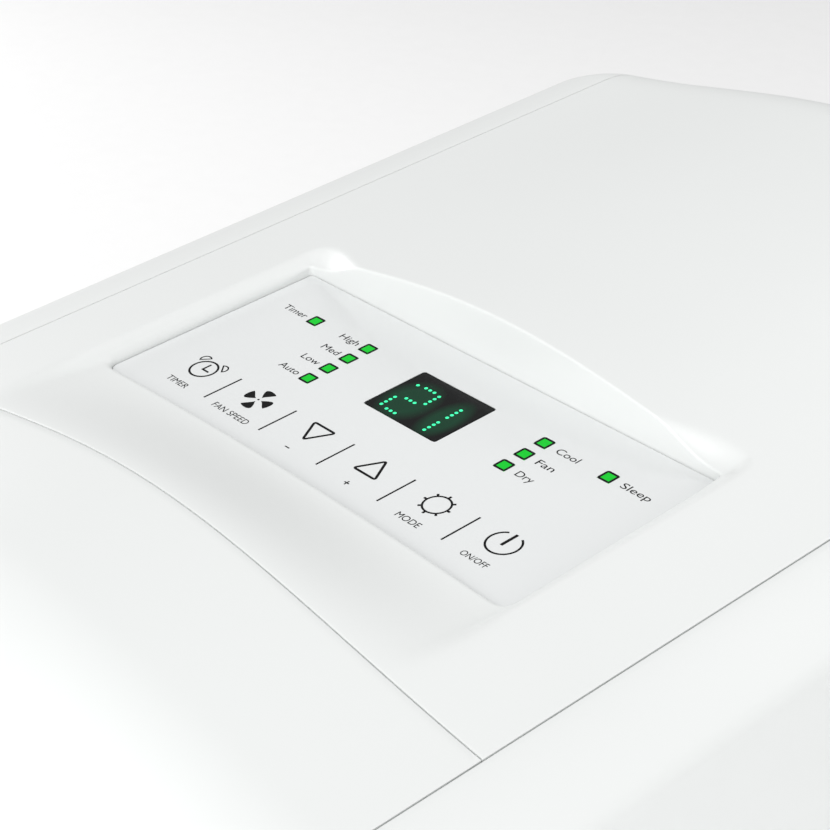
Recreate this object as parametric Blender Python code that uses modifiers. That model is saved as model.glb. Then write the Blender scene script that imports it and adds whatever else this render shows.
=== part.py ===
"""Floor-standing portable air conditioner, built from its separate pieces.

Frame: metres, +Z up, the front faces -Y, the right side is +X, and the origin is on the floor
under the middle of the object. The top slopes down to the front by TOP_TILT. Everything on the
top is modelled in the panel's own frame: x across, v back along the slope, n up from the panel.
"""
import math

import bmesh
import bpy
import numpy as np
from mathutils import Matrix, Vector

MM = 0.001

# Driving dimensions -------------------------------------------------------------------------
KEY_PITCH = 30 * MM            # distance between two touch keys, which sets the panel's size
TOP_TILT = math.radians(5.15)
HALF_WIDTH = 174 * MM
FRONT_Y = -263 * MM
BACK_Y = 209 * MM
PANEL_Y = -102 * MM            # the panel frame's origin, at the front end of the key dividers
PANEL_Z = 651.6 * MM
SKIRT_Z = 30 * MM              # lower edge of the covers
WALL = 2.5 * MM                # wall of the moulded covers
GAP = 0.3 * MM                 # half of a seam, and the least distance between two pieces
SEAM_X = 4.77 * KEY_PITCH      # seam between the middle covers and the side panels
CROWN = 0.68 * KEY_PITCH       # rise of the top's middle over its seams
FRONT_RADIUS = 60 * MM
BACK_RADIUS = 35 * MM
FRONT_SEAM_V = -1.96 * KEY_PITCH   # seam between top cover and front cover
BACK_SEAM_Z = 618 * MM             # seam between top cover and rear cover

# Recess and control panel, in the panel frame
RECESS_HALF = 3.355 * KEY_PITCH
RECESS_FRONT = -0.38 * KEY_PITCH
RECESS_BACK = 2.64 * KEY_PITCH
RIM_RISE = 0.08 * KEY_PITCH        # height of the recess's edge over the panel, at its front corners
PANEL_THICK = 1.5 * MM
LENS = 0.155 * KEY_PITCH
DISPLAY_HALF = 0.597 * KEY_PITCH
DISPLAY_V = (1.145 * KEY_PITCH, 2.057 * KEY_PITCH)
LENS_ROW = 0.2925 * KEY_PITCH
LENS_TOP_V = 1.94 * KEY_PITCH
LENS_X = {"timer": -2.415, "speed": -1.455, "mode": 1.465, "sleep": 2.417}
LENS_ROWS = {"timer": 1, "speed": 4, "mode": 3, "sleep": 1}

# Outlet in the front cover
OUTLET_HALF = 120 * MM
OUTLET_Z = (500 * MM, 576 * MM)
FLAP_AXIS = (FRONT_Y + 4.6 * MM, 505.25 * MM)
DUCT_DEPTH = 102 * MM
VANE_X = [index * 48 * MM for index in (-2, -1, 0, 1, 2)]
VANE_Y = FRONT_Y + 36 * MM
VANE_DEPTH = 30 * MM

# Rear openings and chassis
GRILLE_HALF = 125 * MM
UPPER_GRILLE_Z = (430 * MM, 600 * MM)
LOWER_GRILLE_Z = (90 * MM, 260 * MM)
EXHAUST_X = -60 * MM
EXHAUST_Z = 335 * MM
EXHAUST_RADIUS = 62 * MM
PROTRUSION = 14 * MM               # how far the exhaust collar stands out of the back
PAN_Z = (50 * MM, 74 * MM)
DECK_Z = (408 * MM, 420 * MM)
CASTER_X = 125 * MM
CASTER_Y = (-200 * MM, 155 * MM)
WHEEL_RADIUS = 17 * MM
WHEEL_WIDTH = 15 * MM
TRAIL = 11 * MM
GRIP_Z = 560 * MM
GRIP_HALF = (48 * MM, 14 * MM)

WHITE = (0.86, 0.87, 0.865)
PALE = (0.80, 0.81, 0.805)
GREY = (0.32, 0.33, 0.34)
BLACK = (0.03, 0.03, 0.033)
GREEN = (0.02, 0.62, 0.08)
STEEL = (0.55, 0.56, 0.57)
COPPER = (0.72, 0.34, 0.20)
BOARD_GREEN = (0.03, 0.22, 0.08)

for old in list(bpy.data.objects):
    bpy.data.objects.remove(old, do_unlink=True)

PARTS = bpy.data.collections.new("portable_air_conditioner")
CUTTERS = bpy.data.collections.new("cutters")
bpy.context.scene.collection.children.link(PARTS)
bpy.context.scene.collection.children.link(CUTTERS)

TOP_FRAME = bpy.data.objects.new("top_frame", None)
TOP_FRAME.location = (0, PANEL_Y, PANEL_Z)
TOP_FRAME.rotation_euler = (TOP_TILT, 0, 0)
PARTS.objects.link(TOP_FRAME)


# Materials and objects ----------------------------------------------------------------------
def material(name, colour, roughness, metallic=0.0):
    """A plain Principled material."""
    made = bpy.data.materials.new(name)
    made.use_nodes = True
    shader = made.node_tree.nodes["Principled BSDF"]
    shader.inputs["Base Color"].default_value = (*colour, 1.0)
    shader.inputs["Roughness"].default_value = roughness
    shader.inputs["Metallic"].default_value = metallic
    return made


def part(name, mesh, colour, roughness=0.45, metallic=0.0, parent=None, location=(0, 0, 0)):
    """Link a mesh as one named piece with its own material."""
    made = bpy.data.objects.new(name, mesh)
    made.data.materials.append(material(name, colour, roughness, metallic))
    made.location = location
    made.parent = parent
    PARTS.objects.link(made)
    return made


def helper(name, mesh, parent=None):
    """Link a mesh that only cuts or joins other pieces."""
    made = bpy.data.objects.new(name, mesh)
    made.hide_render = True
    made.display_type = "WIRE"
    made.parent = parent
    CUTTERS.objects.link(made)
    return made


def boolean(target, operation, operand):
    """Add one Boolean modifier."""
    modifier = target.modifiers.new(operation.lower() + "_" + operand.name, "BOOLEAN")
    modifier.operation = operation
    modifier.object = operand


def bevel(target, width, segments=2, angle=40):
    """Round the sharp edges of a piece."""
    modifier = target.modifiers.new("rounded_edges", "BEVEL")
    modifier.width = width
    modifier.segments = segments
    modifier.limit_method = "ANGLE"
    modifier.angle_limit = math.radians(angle)


def solidify(target, thickness):
    """Give an open surface its wall, inwards."""
    modifier = target.modifiers.new("wall", "SOLIDIFY")
    modifier.thickness = thickness
    modifier.offset = -1
    modifier.use_even_offset = True


def finish(bm, name, smooth=False):
    """Turn a bmesh into a mesh."""
    bmesh.ops.recalc_face_normals(bm, faces=bm.faces)
    mesh = bpy.data.meshes.new(name)
    bm.to_mesh(mesh)
    bm.free()
    if smooth:
        mesh.shade_smooth()
        mesh.set_sharp_from_angle(angle=math.radians(35))
    return mesh


# Shapes ------------------------------------------------------------------------------------
def add_box(bm, low, high):
    """A box between two corners."""
    low = Vector(low)
    high = Vector(high)
    size = high - low
    place = Matrix.Translation((low + high) / 2) @ Matrix.Diagonal((*size, 1))
    bmesh.ops.create_cube(bm, size=1, matrix=place)


def add_cylinder(bm, centre, radius, length, axis="Z", sides=32):
    """A round bar along one axis."""
    turn = {"X": Matrix.Rotation(math.pi / 2, 4, "Y"), "Y": Matrix.Rotation(math.pi / 2, 4, "X")}
    place = Matrix.Translation(centre) @ turn.get(axis, Matrix.Identity(4))
    bmesh.ops.create_cone(bm, cap_ends=True, segments=sides, radius1=radius, radius2=radius,
                          depth=length, matrix=place)


def boxes(name, *corners):
    """A mesh of one or more boxes."""
    bm = bmesh.new()
    for low, high in corners:
        add_box(bm, low, high)
    return finish(bm, name)


def cylinder(name, centre, radius, length, axis="Z", sides=32):
    """A mesh of one round bar."""
    bm = bmesh.new()
    add_cylinder(bm, centre, radius, length, axis, sides)
    return finish(bm, name, smooth=True)


def rounded_outline(low, high, radii, steps=5):
    """Corner points of a rectangle; radii are those of front-left, front-right, back-right,
    back-left."""
    spans = zip(radii, [(low[0], low[1], 180), (high[0], low[1], 270),
                        (high[0], high[1], 0), (low[0], high[1], 90)])
    points = []
    for radius, (x, y, start) in spans:
        centre_x = x + math.copysign(radius, (low[0] + high[0]) / 2 - x)
        centre_y = y + math.copysign(radius, (low[1] + high[1]) / 2 - y)
        for step in range(steps + 1):
            angle = math.radians(start + 90 * step / steps)
            points.append((centre_x + radius * math.cos(angle), centre_y + radius * math.sin(angle)))
    return points


def prism(name, outline, bottom, top, frame="XY"):
    """An outline pushed along its normal. Frame XY goes up, frame XZ goes back."""
    bm = bmesh.new()
    low = []
    for first, second in outline:
        spot = (first, second, bottom) if frame == "XY" else (first, bottom, second)
        low.append(bm.verts.new(spot))
    face = bm.faces.new(low)
    pushed = bmesh.ops.extrude_face_region(bm, geom=[face])
    shift = (0, 0, top - bottom) if frame == "XY" else (0, top - bottom, 0)
    moved = [item for item in pushed["geom"] if isinstance(item, bmesh.types.BMVert)]
    bmesh.ops.translate(bm, verts=moved, vec=shift)
    return finish(bm, name)


def turned(name, profile, steps=24, axis="Z", centre=(0, 0, 0)):
    """A closed profile of (radius, height) points turned about an axis."""
    bm = bmesh.new()
    ring = [bm.verts.new((radius, 0, height)) for radius, height in profile]
    edges = [bm.edges.new((first, second)) for first, second in zip(ring, ring[1:] + ring[:1])]
    bmesh.ops.spin(bm, geom=ring + edges, cent=(0, 0, 0), axis=(0, 0, 1), angle=2 * math.pi,
                   steps=steps, use_merge=True)
    bmesh.ops.remove_doubles(bm, verts=bm.verts, dist=1e-6)
    turn = {"X": Matrix.Rotation(math.pi / 2, 4, "Y"), "Y": Matrix.Rotation(-math.pi / 2, 4, "X")}
    bmesh.ops.transform(bm, verts=bm.verts, matrix=turn.get(axis, Matrix.Identity(4)))
    bmesh.ops.translate(bm, verts=bm.verts, vec=centre)
    return finish(bm, name, smooth=True)


def ring_profile(inner, outer, low, high):
    """Profile of a plain ring."""
    return [(outer, high), (outer, low), (inner, low), (inner, high)]


# The body's outer surface -------------------------------------------------------------------
def side_path():
    """Corner data of the body seen from the side: the front face, the sloping top and the
    back face, with a round corner between them. Returns the lengths of the five stretches and
    the centres of the two corners."""
    slope = math.tan(TOP_TILT)
    front_corner_z = PANEL_Z + slope * (FRONT_Y - PANEL_Y)
    back_corner_z = PANEL_Z + slope * (BACK_Y - PANEL_Y)
    front_turn = math.pi / 2 - TOP_TILT
    back_turn = math.pi / 2 + TOP_TILT
    front_tangent = FRONT_RADIUS * math.tan(front_turn / 2)
    back_tangent = BACK_RADIUS * math.tan(back_turn / 2)
    lengths = [front_corner_z - front_tangent - SKIRT_Z,
               FRONT_RADIUS * front_turn,
               (BACK_Y - FRONT_Y) / math.cos(TOP_TILT) - front_tangent - back_tangent,
               BACK_RADIUS * back_turn,
               back_corner_z - back_tangent - SKIRT_Z]
    front_centre = (FRONT_Y + FRONT_RADIUS, front_corner_z - front_tangent)
    back_centre = (BACK_Y - BACK_RADIUS, back_corner_z - back_tangent)
    return lengths, front_centre, back_centre


LENGTHS, FRONT_CENTRE, BACK_CENTRE = side_path()
STOPS = np.concatenate([[0], np.cumsum(LENGTHS)])


def path_point(s):
    """Base point (y, z) and outward normal of the side path at distances s from the front's
    lower edge, and how much of the top's crown there is."""
    s = np.asarray(s, float)
    y = np.empty_like(s)
    z = np.empty_like(s)
    angle = np.empty_like(s)
    crown = np.ones_like(s)
    top_angle = math.pi / 2 + TOP_TILT
    part_of = np.clip(np.searchsorted(STOPS, s, side="right") - 1, 0, 4)
    rest = s - STOPS[part_of]
    share = rest / np.array(LENGTHS)[part_of]
    for index in range(5):
        here = part_of == index
        if index == 0:
            angle[here] = math.pi
            y[here] = FRONT_Y
            z[here] = SKIRT_Z + rest[here]
            crown[here] = 0
        elif index == 1:
            angle[here] = math.pi + (top_angle - math.pi) * share[here]
            y[here] = FRONT_CENTRE[0] + FRONT_RADIUS * np.cos(angle[here])
            z[here] = FRONT_CENTRE[1] + FRONT_RADIUS * np.sin(angle[here])
            crown[here] = np.sin(share[here] * math.pi / 2) ** 2
        elif index == 2:
            angle[here] = top_angle
            y[here] = (FRONT_CENTRE[0] + FRONT_RADIUS * math.cos(top_angle)
                       + rest[here] * math.cos(TOP_TILT))
            z[here] = (FRONT_CENTRE[1] + FRONT_RADIUS * math.sin(top_angle)
                       + rest[here] * math.sin(TOP_TILT))
        elif index == 3:
            angle[here] = top_angle * (1 - share[here])
            y[here] = BACK_CENTRE[0] + BACK_RADIUS * np.cos(angle[here])
            z[here] = BACK_CENTRE[1] + BACK_RADIUS * np.sin(angle[here])
            crown[here] = np.cos(share[here] * math.pi / 2) ** 2
        else:
            angle[here] = 0
            y[here] = BACK_Y
            z[here] = BACK_CENTRE[1] - rest[here]
            crown[here] = 0
    return y, z, np.cos(angle), np.sin(angle), crown


TOP_START_V = ((FRONT_CENTRE[0] + FRONT_RADIUS * math.cos(math.pi / 2 + TOP_TILT) - PANEL_Y)
               / math.cos(TOP_TILT))


def path_at_v(v):
    """Distance along the side path of a place v on the sloping top."""
    return STOPS[2] + v - TOP_START_V


def path_at_back(z):
    """Distance along the side path of a height on the back face."""
    return STOPS[4] + BACK_CENTRE[1] - z


def smooth_step(t):
    """0 below 0, 1 above 1, and a smooth turn between."""
    t = np.clip(t, 0, 1)
    return t * t * (3 - 2 * t)


def crown_height(x):
    """Height of the top over its seams: the mean of a parabola and a squared cosine."""
    share = np.clip(np.abs(x) / SEAM_X, 0, 1)
    return CROWN * 0.5 * ((1 - share ** 2) + np.cos(share * math.pi / 2) ** 2)


def rim_height(x, v):
    """Height of the recess's edge: lowest at the front corners, bowed up between them."""
    bow = np.maximum(1 - (x / (3.1 * KEY_PITCH)) ** 2, 0)
    back = np.clip(v - RECESS_FRONT, 0, 3 * KEY_PITCH)
    return RIM_RISE + 0.08 * KEY_PITCH * bow + 0.015 * back


def top_height(x, s, crown):
    """Height of the middle covers over the side path, with the soft dish round the recess."""
    height = crown_height(x) * crown
    v = s - STOPS[2] + TOP_START_V
    beside = np.maximum(np.abs(x) - RECESS_HALF, 0) / (0.24 * KEY_PITCH)
    before = np.maximum(RECESS_FRONT - v, 0) / (1.6 * KEY_PITCH)
    near_corner = smooth_step((np.abs(x) - 2.38 * KEY_PITCH) / (0.9 * KEY_PITCH))
    behind = np.maximum(v - RECESS_BACK, 0) / (0.05 * KEY_PITCH + 0.3 * KEY_PITCH * near_corner)
    reach = np.sqrt(beside ** 2 + before ** 2 + behind ** 2)
    dish = 1 - smooth_step(reach)
    keep = np.where(v > RECESS_BACK, near_corner, 1.0)
    rim = np.minimum(height, rim_height(x, v))
    return height - (height - rim) * dish * keep


def surface_grid(name, x_values, s_values, height):
    """An open grid over the side path: point = base(s) + normal(s) * height(x, s)."""
    columns = len(x_values) - 1
    rows = len(s_values) - 1
    bm = bmesh.new()
    bmesh.ops.create_grid(bm, x_segments=columns, y_segments=rows, size=1)
    y, z, normal_y, normal_z, crown = path_point(s_values)
    for vert in bm.verts:
        column = round((vert.co.x + 1) / 2 * columns)
        row = round((vert.co.y + 1) / 2 * rows)
        x = x_values[column]
        rise = float(height(x, s_values[row], crown[row]))
        vert.co = (x, y[row] + normal_y[row] * rise, z[row] + normal_z[row] * rise)
    mesh = bpy.data.meshes.new(name)
    bm.to_mesh(mesh)
    bm.free()
    mesh.shade_smooth()
    mesh.set_sharp_from_angle(angle=math.radians(35))
    return mesh


def spread(*marks, count=1):
    """Values between marks, count steps in each stretch."""
    values = []
    for first, second in zip(marks, marks[1:]):
        values += list(np.linspace(first, second, count, endpoint=False))
    return values + [marks[-1]]


COVER_X = spread(-SEAM_X + GAP, -RECESS_HALF - 6 * MM, -RECESS_HALF + 1 * MM, -60 * MM, 0,
                 60 * MM, RECESS_HALF - 1 * MM, RECESS_HALF + 6 * MM, SEAM_X - GAP, count=2)


# Top ---------------------------------------------------------------------------------------
def top_cover():
    """Crowned cover with the panel's recess: a skin, a well under its hole and a ledge."""
    front = path_at_v(FRONT_SEAM_V) + GAP
    recess_front = path_at_v(RECESS_FRONT)
    recess_back = path_at_v(RECESS_BACK)
    rows = (spread(front, recess_front - 6 * MM, count=4)[:-1]
            + spread(recess_front - 6 * MM, recess_front + 2 * MM, recess_back - 2 * MM)[:-1]
            + [recess_back - 1 * MM, recess_back, recess_back + 2 * MM, recess_back + 6 * MM]
            + spread(recess_back + 11 * MM, STOPS[3], count=3)[:-1]
            + spread(STOPS[3], STOPS[4], count=7)
            + [path_at_back(BACK_SEAM_Z) - GAP])
    cover = part("top_cover", surface_grid("top_cover", COVER_X, rows, top_height), WHITE, 0.35)
    solidify(cover, WALL)

    outline = rounded_outline((-RECESS_HALF, RECESS_FRONT), (RECESS_HALF, RECESS_BACK),
                              (4 * MM, 4 * MM, 2 * MM, 2 * MM))
    wide = rounded_outline((-RECESS_HALF - WALL, RECESS_FRONT - WALL),
                           (RECESS_HALF + WALL, RECESS_BACK + WALL),
                           (6 * MM, 6 * MM, 4 * MM, 4 * MM))
    ledge = rounded_outline((-RECESS_HALF + 6 * MM, RECESS_FRONT + 6 * MM),
                            (RECESS_HALF - 6 * MM, RECESS_BACK - 6 * MM), (4 * MM,) * 4)
    well = helper("well", prism("well", wide, -5 * MM, 40 * MM), TOP_FRAME)
    under = surface_grid("under_crown", COVER_X[1:-1], rows[1:12],
                         lambda x, s, crown: top_height(x, s, crown) - 0.8 * MM)
    under_crown = helper("under_crown", under)
    solidify(under_crown, 32 * MM)
    boolean(well, "INTERSECT", under_crown)
    pocket = helper("pocket", prism("pocket", outline, -PANEL_THICK - GAP, 40 * MM), TOP_FRAME)
    throat = helper("throat", prism("throat", ledge, -9 * MM, 10 * MM), TOP_FRAME)
    boolean(cover, "UNION", well)
    boolean(cover, "DIFFERENCE", pocket)
    boolean(cover, "DIFFERENCE", throat)


def lens_corners(name, grow):
    """Corners of each indicator window in one column."""
    x = LENS_X[name] * KEY_PITCH
    half = LENS / 2 + grow
    rows = range(LENS_ROWS[name])
    centres = [(x, LENS_TOP_V - row * LENS_ROW) for row in rows]
    return [((x - half, v - half), (x + half, v + half)) for x, v in centres]


def control_panel():
    """Flat touch panel with holes for the display window and the indicator windows."""
    outline = rounded_outline((-RECESS_HALF + GAP, RECESS_FRONT + GAP),
                              (RECESS_HALF - GAP, RECESS_BACK - GAP),
                              (3.7 * MM, 3.7 * MM, 1.7 * MM, 1.7 * MM))
    plate = part("control_panel", prism("control_panel", outline, -PANEL_THICK, 0), WHITE, 0.3,
                 parent=TOP_FRAME)
    bm = bmesh.new()
    for name in LENS_X:
        for low, high in lens_corners(name, GAP):
            add_box(bm, (*low, -3 * MM), (*high, 3 * MM))
    holes = helper("lens_holes", finish(bm, "lens_holes"), TOP_FRAME)
    window = rounded_outline((-DISPLAY_HALF, DISPLAY_V[0]), (DISPLAY_HALF, DISPLAY_V[1]),
                             (1 * MM,) * 4, steps=3)
    opening = helper("display_hole", prism("display_hole", window, -3 * MM, 3 * MM), TOP_FRAME)
    boolean(plate, "DIFFERENCE", holes)
    boolean(plate, "DIFFERENCE", opening)


def display_window():
    """Dark window over the two digits."""
    outline = rounded_outline((-DISPLAY_HALF + GAP, DISPLAY_V[0] + GAP),
                              (DISPLAY_HALF - GAP, DISPLAY_V[1] - GAP), (0.8 * MM,) * 4, steps=3)
    part("display_window", prism("display_window", outline, -PANEL_THICK, 0), BLACK, 0.15,
         parent=TOP_FRAME)


def light_guides():
    """One clear moulding for each column of indicators: posts that stand on a bar."""
    for name in LENS_X:
        corners = lens_corners(name, 0)
        bm = bmesh.new()
        add_box(bm, (*corners[-1][0], -8 * MM), (*corners[0][1], -5 * MM))
        guide = part("light_guide_" + name, finish(bm, name), GREEN, 0.3, parent=TOP_FRAME)
        posts = bmesh.new()
        for low, high in corners:
            add_box(posts, (low[0] + GAP, low[1] + GAP, -6 * MM), (high[0] - GAP, high[1] - GAP, 0))
        boolean(guide, "UNION", helper("posts_" + name, finish(posts, name), TOP_FRAME))


def control_board():
    """Circuit board under the panel, with a relay, a transformer and a connector."""
    board = part("control_board", boxes("control_board", ((-88 * MM, 2 * MM, -14 * MM),
                                                          (88 * MM, 70 * MM, -12.4 * MM))),
                 BOARD_GREEN, 0.5, parent=TOP_FRAME)
    blocks = boxes("board_blocks", ((-80 * MM, 8 * MM, -25 * MM), (-60 * MM, 24 * MM, -13 * MM)),
                   ((-30 * MM, 10 * MM, -24 * MM), (5 * MM, 40 * MM, -13 * MM)),
                   ((40 * MM, 20 * MM, -22 * MM), (75 * MM, 30 * MM, -13 * MM)))
    boolean(board, "UNION", helper("board_blocks", blocks, TOP_FRAME))


def board_tray():
    """Open tray that closes the space under the panel."""
    low = (-RECESS_HALF + 1 * MM, RECESS_FRONT + 1 * MM)
    high = (RECESS_HALF - 1 * MM, RECESS_BACK - 1 * MM)
    tray = part("board_tray", boxes("board_tray", ((*low, -30 * MM), (*high, -5.5 * MM))), GREY,
                0.6, parent=TOP_FRAME)
    inner = boxes("tray_room", ((low[0] + 2 * MM, low[1] + 2 * MM, -28 * MM),
                                (high[0] - 2 * MM, high[1] - 2 * MM, 0)))
    boolean(tray, "DIFFERENCE", helper("tray_room", inner, TOP_FRAME))


# Front and outlet --------------------------------------------------------------------------
def front_cover():
    """Front shell from the skirt up over the round front edge, with the outlet opening."""
    rows = (spread(0, OUTLET_Z[0] - SKIRT_Z - 10 * MM, STOPS[1]) + [])[:-1]
    rows += spread(STOPS[1], STOPS[2], count=9)[:-1]
    rows += [STOPS[2], path_at_v(FRONT_SEAM_V) - GAP]
    columns = spread(-SEAM_X + GAP, 0, SEAM_X - GAP, count=8)
    cover = part("front_cover", surface_grid("front_cover", columns, rows,
                                             lambda x, s, crown: crown_height(x) * crown),
                 WHITE, 0.35)
    solidify(cover, WALL)
    outline = rounded_outline((-OUTLET_HALF, OUTLET_Z[0]), (OUTLET_HALF, OUTLET_Z[1]),
                              (4 * MM,) * 4)
    hole = prism("outlet_hole", outline, FRONT_Y - 10 * MM, FRONT_Y + 10 * MM, frame="XZ")
    boolean(cover, "DIFFERENCE", helper("outlet_hole", hole))


def outlet_flap():
    """Motor-driven flap, hinged along its lower edge on two pins."""
    y, z = FLAP_AXIS
    clear = 1.2 * MM
    outline = rounded_outline((-OUTLET_HALF + clear, OUTLET_Z[0] + 1.7 * clear),
                              (OUTLET_HALF - clear, OUTLET_Z[1] - clear), (3 * MM,) * 4)
    hinge = bpy.data.objects.new("flap_hinge", None)
    hinge.location = (0, y, z)
    PARTS.objects.link(hinge)
    outline = [(x, height - z) for x, height in outline]
    flap = part("outlet_flap", prism("outlet_flap", outline, FRONT_Y - y, FRONT_Y - y + 2.2 * MM,
                                     frame="XZ"), WHITE, 0.35, parent=hinge)
    lugs = bmesh.new()
    pins = bmesh.new()
    for side in (-1, 1):
        add_cylinder(lugs, (side * (OUTLET_HALF - 4 * MM), 0, 0), 3.2 * MM, 5 * MM, "X", 16)
        add_cylinder(pins, (side * (OUTLET_HALF - 0.5 * MM), 0, 0), 1 * MM, 7 * MM, "X", 10)
    boolean(flap, "UNION", helper("flap_lugs", finish(lugs, "flap_lugs"), hinge))
    boolean(flap, "UNION", helper("flap_pins", finish(pins, "flap_pins"), hinge))


def outlet_duct():
    """Short air duct behind the outlet, which carries the flap's pins and the vanes."""
    front = FRONT_Y + WALL + GAP
    back = front + DUCT_DEPTH
    inner = (OUTLET_HALF + 0.8 * MM, OUTLET_Z[0] - 2.5 * MM, OUTLET_Z[1] + 2.5 * MM)
    outer = (inner[0] + 2.2 * MM, inner[1] - 2 * MM, inner[2] + 2 * MM)
    duct = part("outlet_duct", boxes("outlet_duct", ((-outer[0], front, outer[1]),
                                                     (outer[0], back, outer[2]))), PALE, 0.5)
    bm = bmesh.new()
    add_box(bm, (-inner[0], front - 5 * MM, inner[1]), (inner[0], back + 5 * MM, inner[2]))
    boolean(duct, "DIFFERENCE", helper("duct_room", finish(bm, "duct_room")))
    holes = bmesh.new()
    add_cylinder(holes, (0, *FLAP_AXIS), 1.35 * MM, 300 * MM, "X", 10)
    boolean(duct, "DIFFERENCE", helper("flap_pin_holes", finish(holes, "flap_pin_holes")))
    sockets = bmesh.new()
    for x in VANE_X:
        add_cylinder(sockets, (x, VANE_Y, sum(OUTLET_Z) / 2), 1.9 * MM, 120 * MM, "Z", 8)
    boolean(duct, "DIFFERENCE", helper("vane_sockets", finish(sockets, "vane_sockets")))


def vanes():
    """Upright vanes that steer the air sideways, each on its own pin, and their link bar."""
    low = OUTLET_Z[0] - 1.9 * MM
    high = OUTLET_Z[1] + 1.9 * MM
    middle = (low + high) / 2
    blade = bmesh.new()
    half_height = (high - low) / 2
    add_box(blade, (-0.8 * MM, -VANE_DEPTH / 2, -half_height), (0.8 * MM, VANE_DEPTH / 2, half_height))
    mesh = finish(blade, "vane")
    pin = cylinder("vane_pin", (0, 0, 0), 1.5 * MM, 2 * half_height + 4 * MM, "Z", 8)
    for number, x in enumerate(VANE_X, start=1):
        vane = part(f"vane_{number}", mesh.copy(), PALE, 0.5, location=(x, VANE_Y, middle))
        pin_helper = helper(f"vane_pin_{number}", pin)
        pin_helper.location = (x, VANE_Y, middle)
        boolean(vane, "UNION", pin_helper)


def small_motor(name, centre, axis):
    """A can-shaped stepper motor with its gear snout."""
    motor = part(name, cylinder(name, (0, 0, 0), 14 * MM, 18 * MM, axis), STEEL, 0.35, 0.8,
                 location=centre)
    step = 10 * MM if name == "flap_motor" else -10 * MM
    shift = (-step, 0, 0) if axis == "X" else (0, 0, step)
    snout = cylinder(name + "_snout", Vector(centre) + Vector(shift), 4 * MM, 6 * MM, axis, 16)
    boolean(motor, "UNION", helper(name + "_snout", snout))


# Sides --------------------------------------------------------------------------------------
SHOULDER = 27.3 * MM           # width of the gently falling shoulder
EDGE_RADIUS = 6.6 * MM


def shoulder_profile():
    """(x, n) points from the seam over the shoulder and its round edge to the upright side."""
    points = []
    for out in np.linspace(GAP, SHOULDER, 4):
        points.append((SEAM_X + out, -(0.14 * out + 6.78 * out ** 2)))
    start = math.atan(0.14 + 2 * 6.78 * SHOULDER)
    centre_x = HALF_WIDTH - EDGE_RADIUS
    centre_n = points[-1][1] - EDGE_RADIUS * math.cos(start)
    for angle in np.linspace(start, math.pi / 2, 5)[1:]:
        points.append((centre_x + EDGE_RADIUS * math.sin(angle),
                       centre_n + EDGE_RADIUS * math.cos(angle)))
    return points


def side_panel(name, side):
    """Side shell: the shoulder carried along the side path, closed by the flat side."""
    profile = shoulder_profile()
    stations = ([0, STOPS[1] / 2] + spread(STOPS[1], STOPS[2], count=8)
                + spread(STOPS[2], STOPS[3], count=2)[1:] + spread(STOPS[3], STOPS[4], count=7)[1:]
                + [(STOPS[4] + STOPS[5]) / 2, STOPS[5]])
    lookup = dict(profile)
    mesh = surface_grid(name, [x for x, _ in profile], stations, lambda x, s, crown: lookup[x])
    bm = bmesh.new()
    bm.from_mesh(mesh)
    outer = max(x for x, _ in profile)
    rim = [edge for edge in bm.edges if edge.is_boundary
           and all(abs(vert.co.x - outer) < 1e-6 for vert in edge.verts)]
    ends = [vert for vert in {vert for edge in rim for vert in edge.verts}
            if vert.co.z < SKIRT_Z + 1e-6]
    bottom = bm.edges.new(ends)
    bmesh.ops.contextual_create(bm, geom=rim + [bottom])
    bmesh.ops.scale(bm, verts=bm.verts, vec=(side, 1, 1))
    bmesh.ops.recalc_face_normals(bm, faces=bm.faces)
    wall = max(bm.faces, key=lambda face: face.calc_area())
    if wall.normal.x * side < 0:
        bmesh.ops.reverse_faces(bm, faces=bm.faces)
    bm.to_mesh(mesh)
    bm.free()
    panel = part(name, mesh, WHITE, 0.35)
    solidify(panel, WALL)
    slot = rounded_outline((-GRIP_HALF[0] - GAP, -GRIP_HALF[1] - GAP),
                           (GRIP_HALF[0] + GAP, GRIP_HALF[1] + GAP), (13 * MM,) * 4)
    hole = prism(name + "_slot", slot, -8 * MM, 8 * MM)
    hole.transform(Matrix.Translation((side * HALF_WIDTH, 0, GRIP_Z))
                   @ Matrix.Rotation(math.pi / 2, 4, "Z") @ Matrix.Rotation(math.pi / 2, 4, "X"))
    boolean(panel, "DIFFERENCE", helper(name + "_slot", hole))


def grip(name, side):
    """Cup-shaped hand grip in a side panel: an outer block with its hand room cut out."""
    turn = Matrix.Rotation(math.pi / 2, 4, "Z") @ Matrix.Rotation(math.pi / 2, 4, "X")
    place = Matrix.Translation((side * HALF_WIDTH, 0, GRIP_Z)) @ turn
    outline = rounded_outline((-GRIP_HALF[0], -GRIP_HALF[1]), GRIP_HALF, (12.7 * MM,) * 4)
    inner = rounded_outline((-GRIP_HALF[0] + 2 * MM, -GRIP_HALF[1] + 2 * MM),
                            (GRIP_HALF[0] - 2 * MM, GRIP_HALF[1] - 2 * MM), (10.7 * MM,) * 4)
    depth = -24 * MM * side
    block = prism(name, outline, min(0, depth), max(0, depth))
    room = prism(name + "_room", inner, *((depth + 2 * MM, 5 * MM) if side > 0
                                          else (-5 * MM, depth - 2 * MM)))
    block.transform(place)
    room.transform(place)
    cup = part(name, block, PALE, 0.5)
    boolean(cup, "DIFFERENCE", helper(name + "_room", room))


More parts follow.
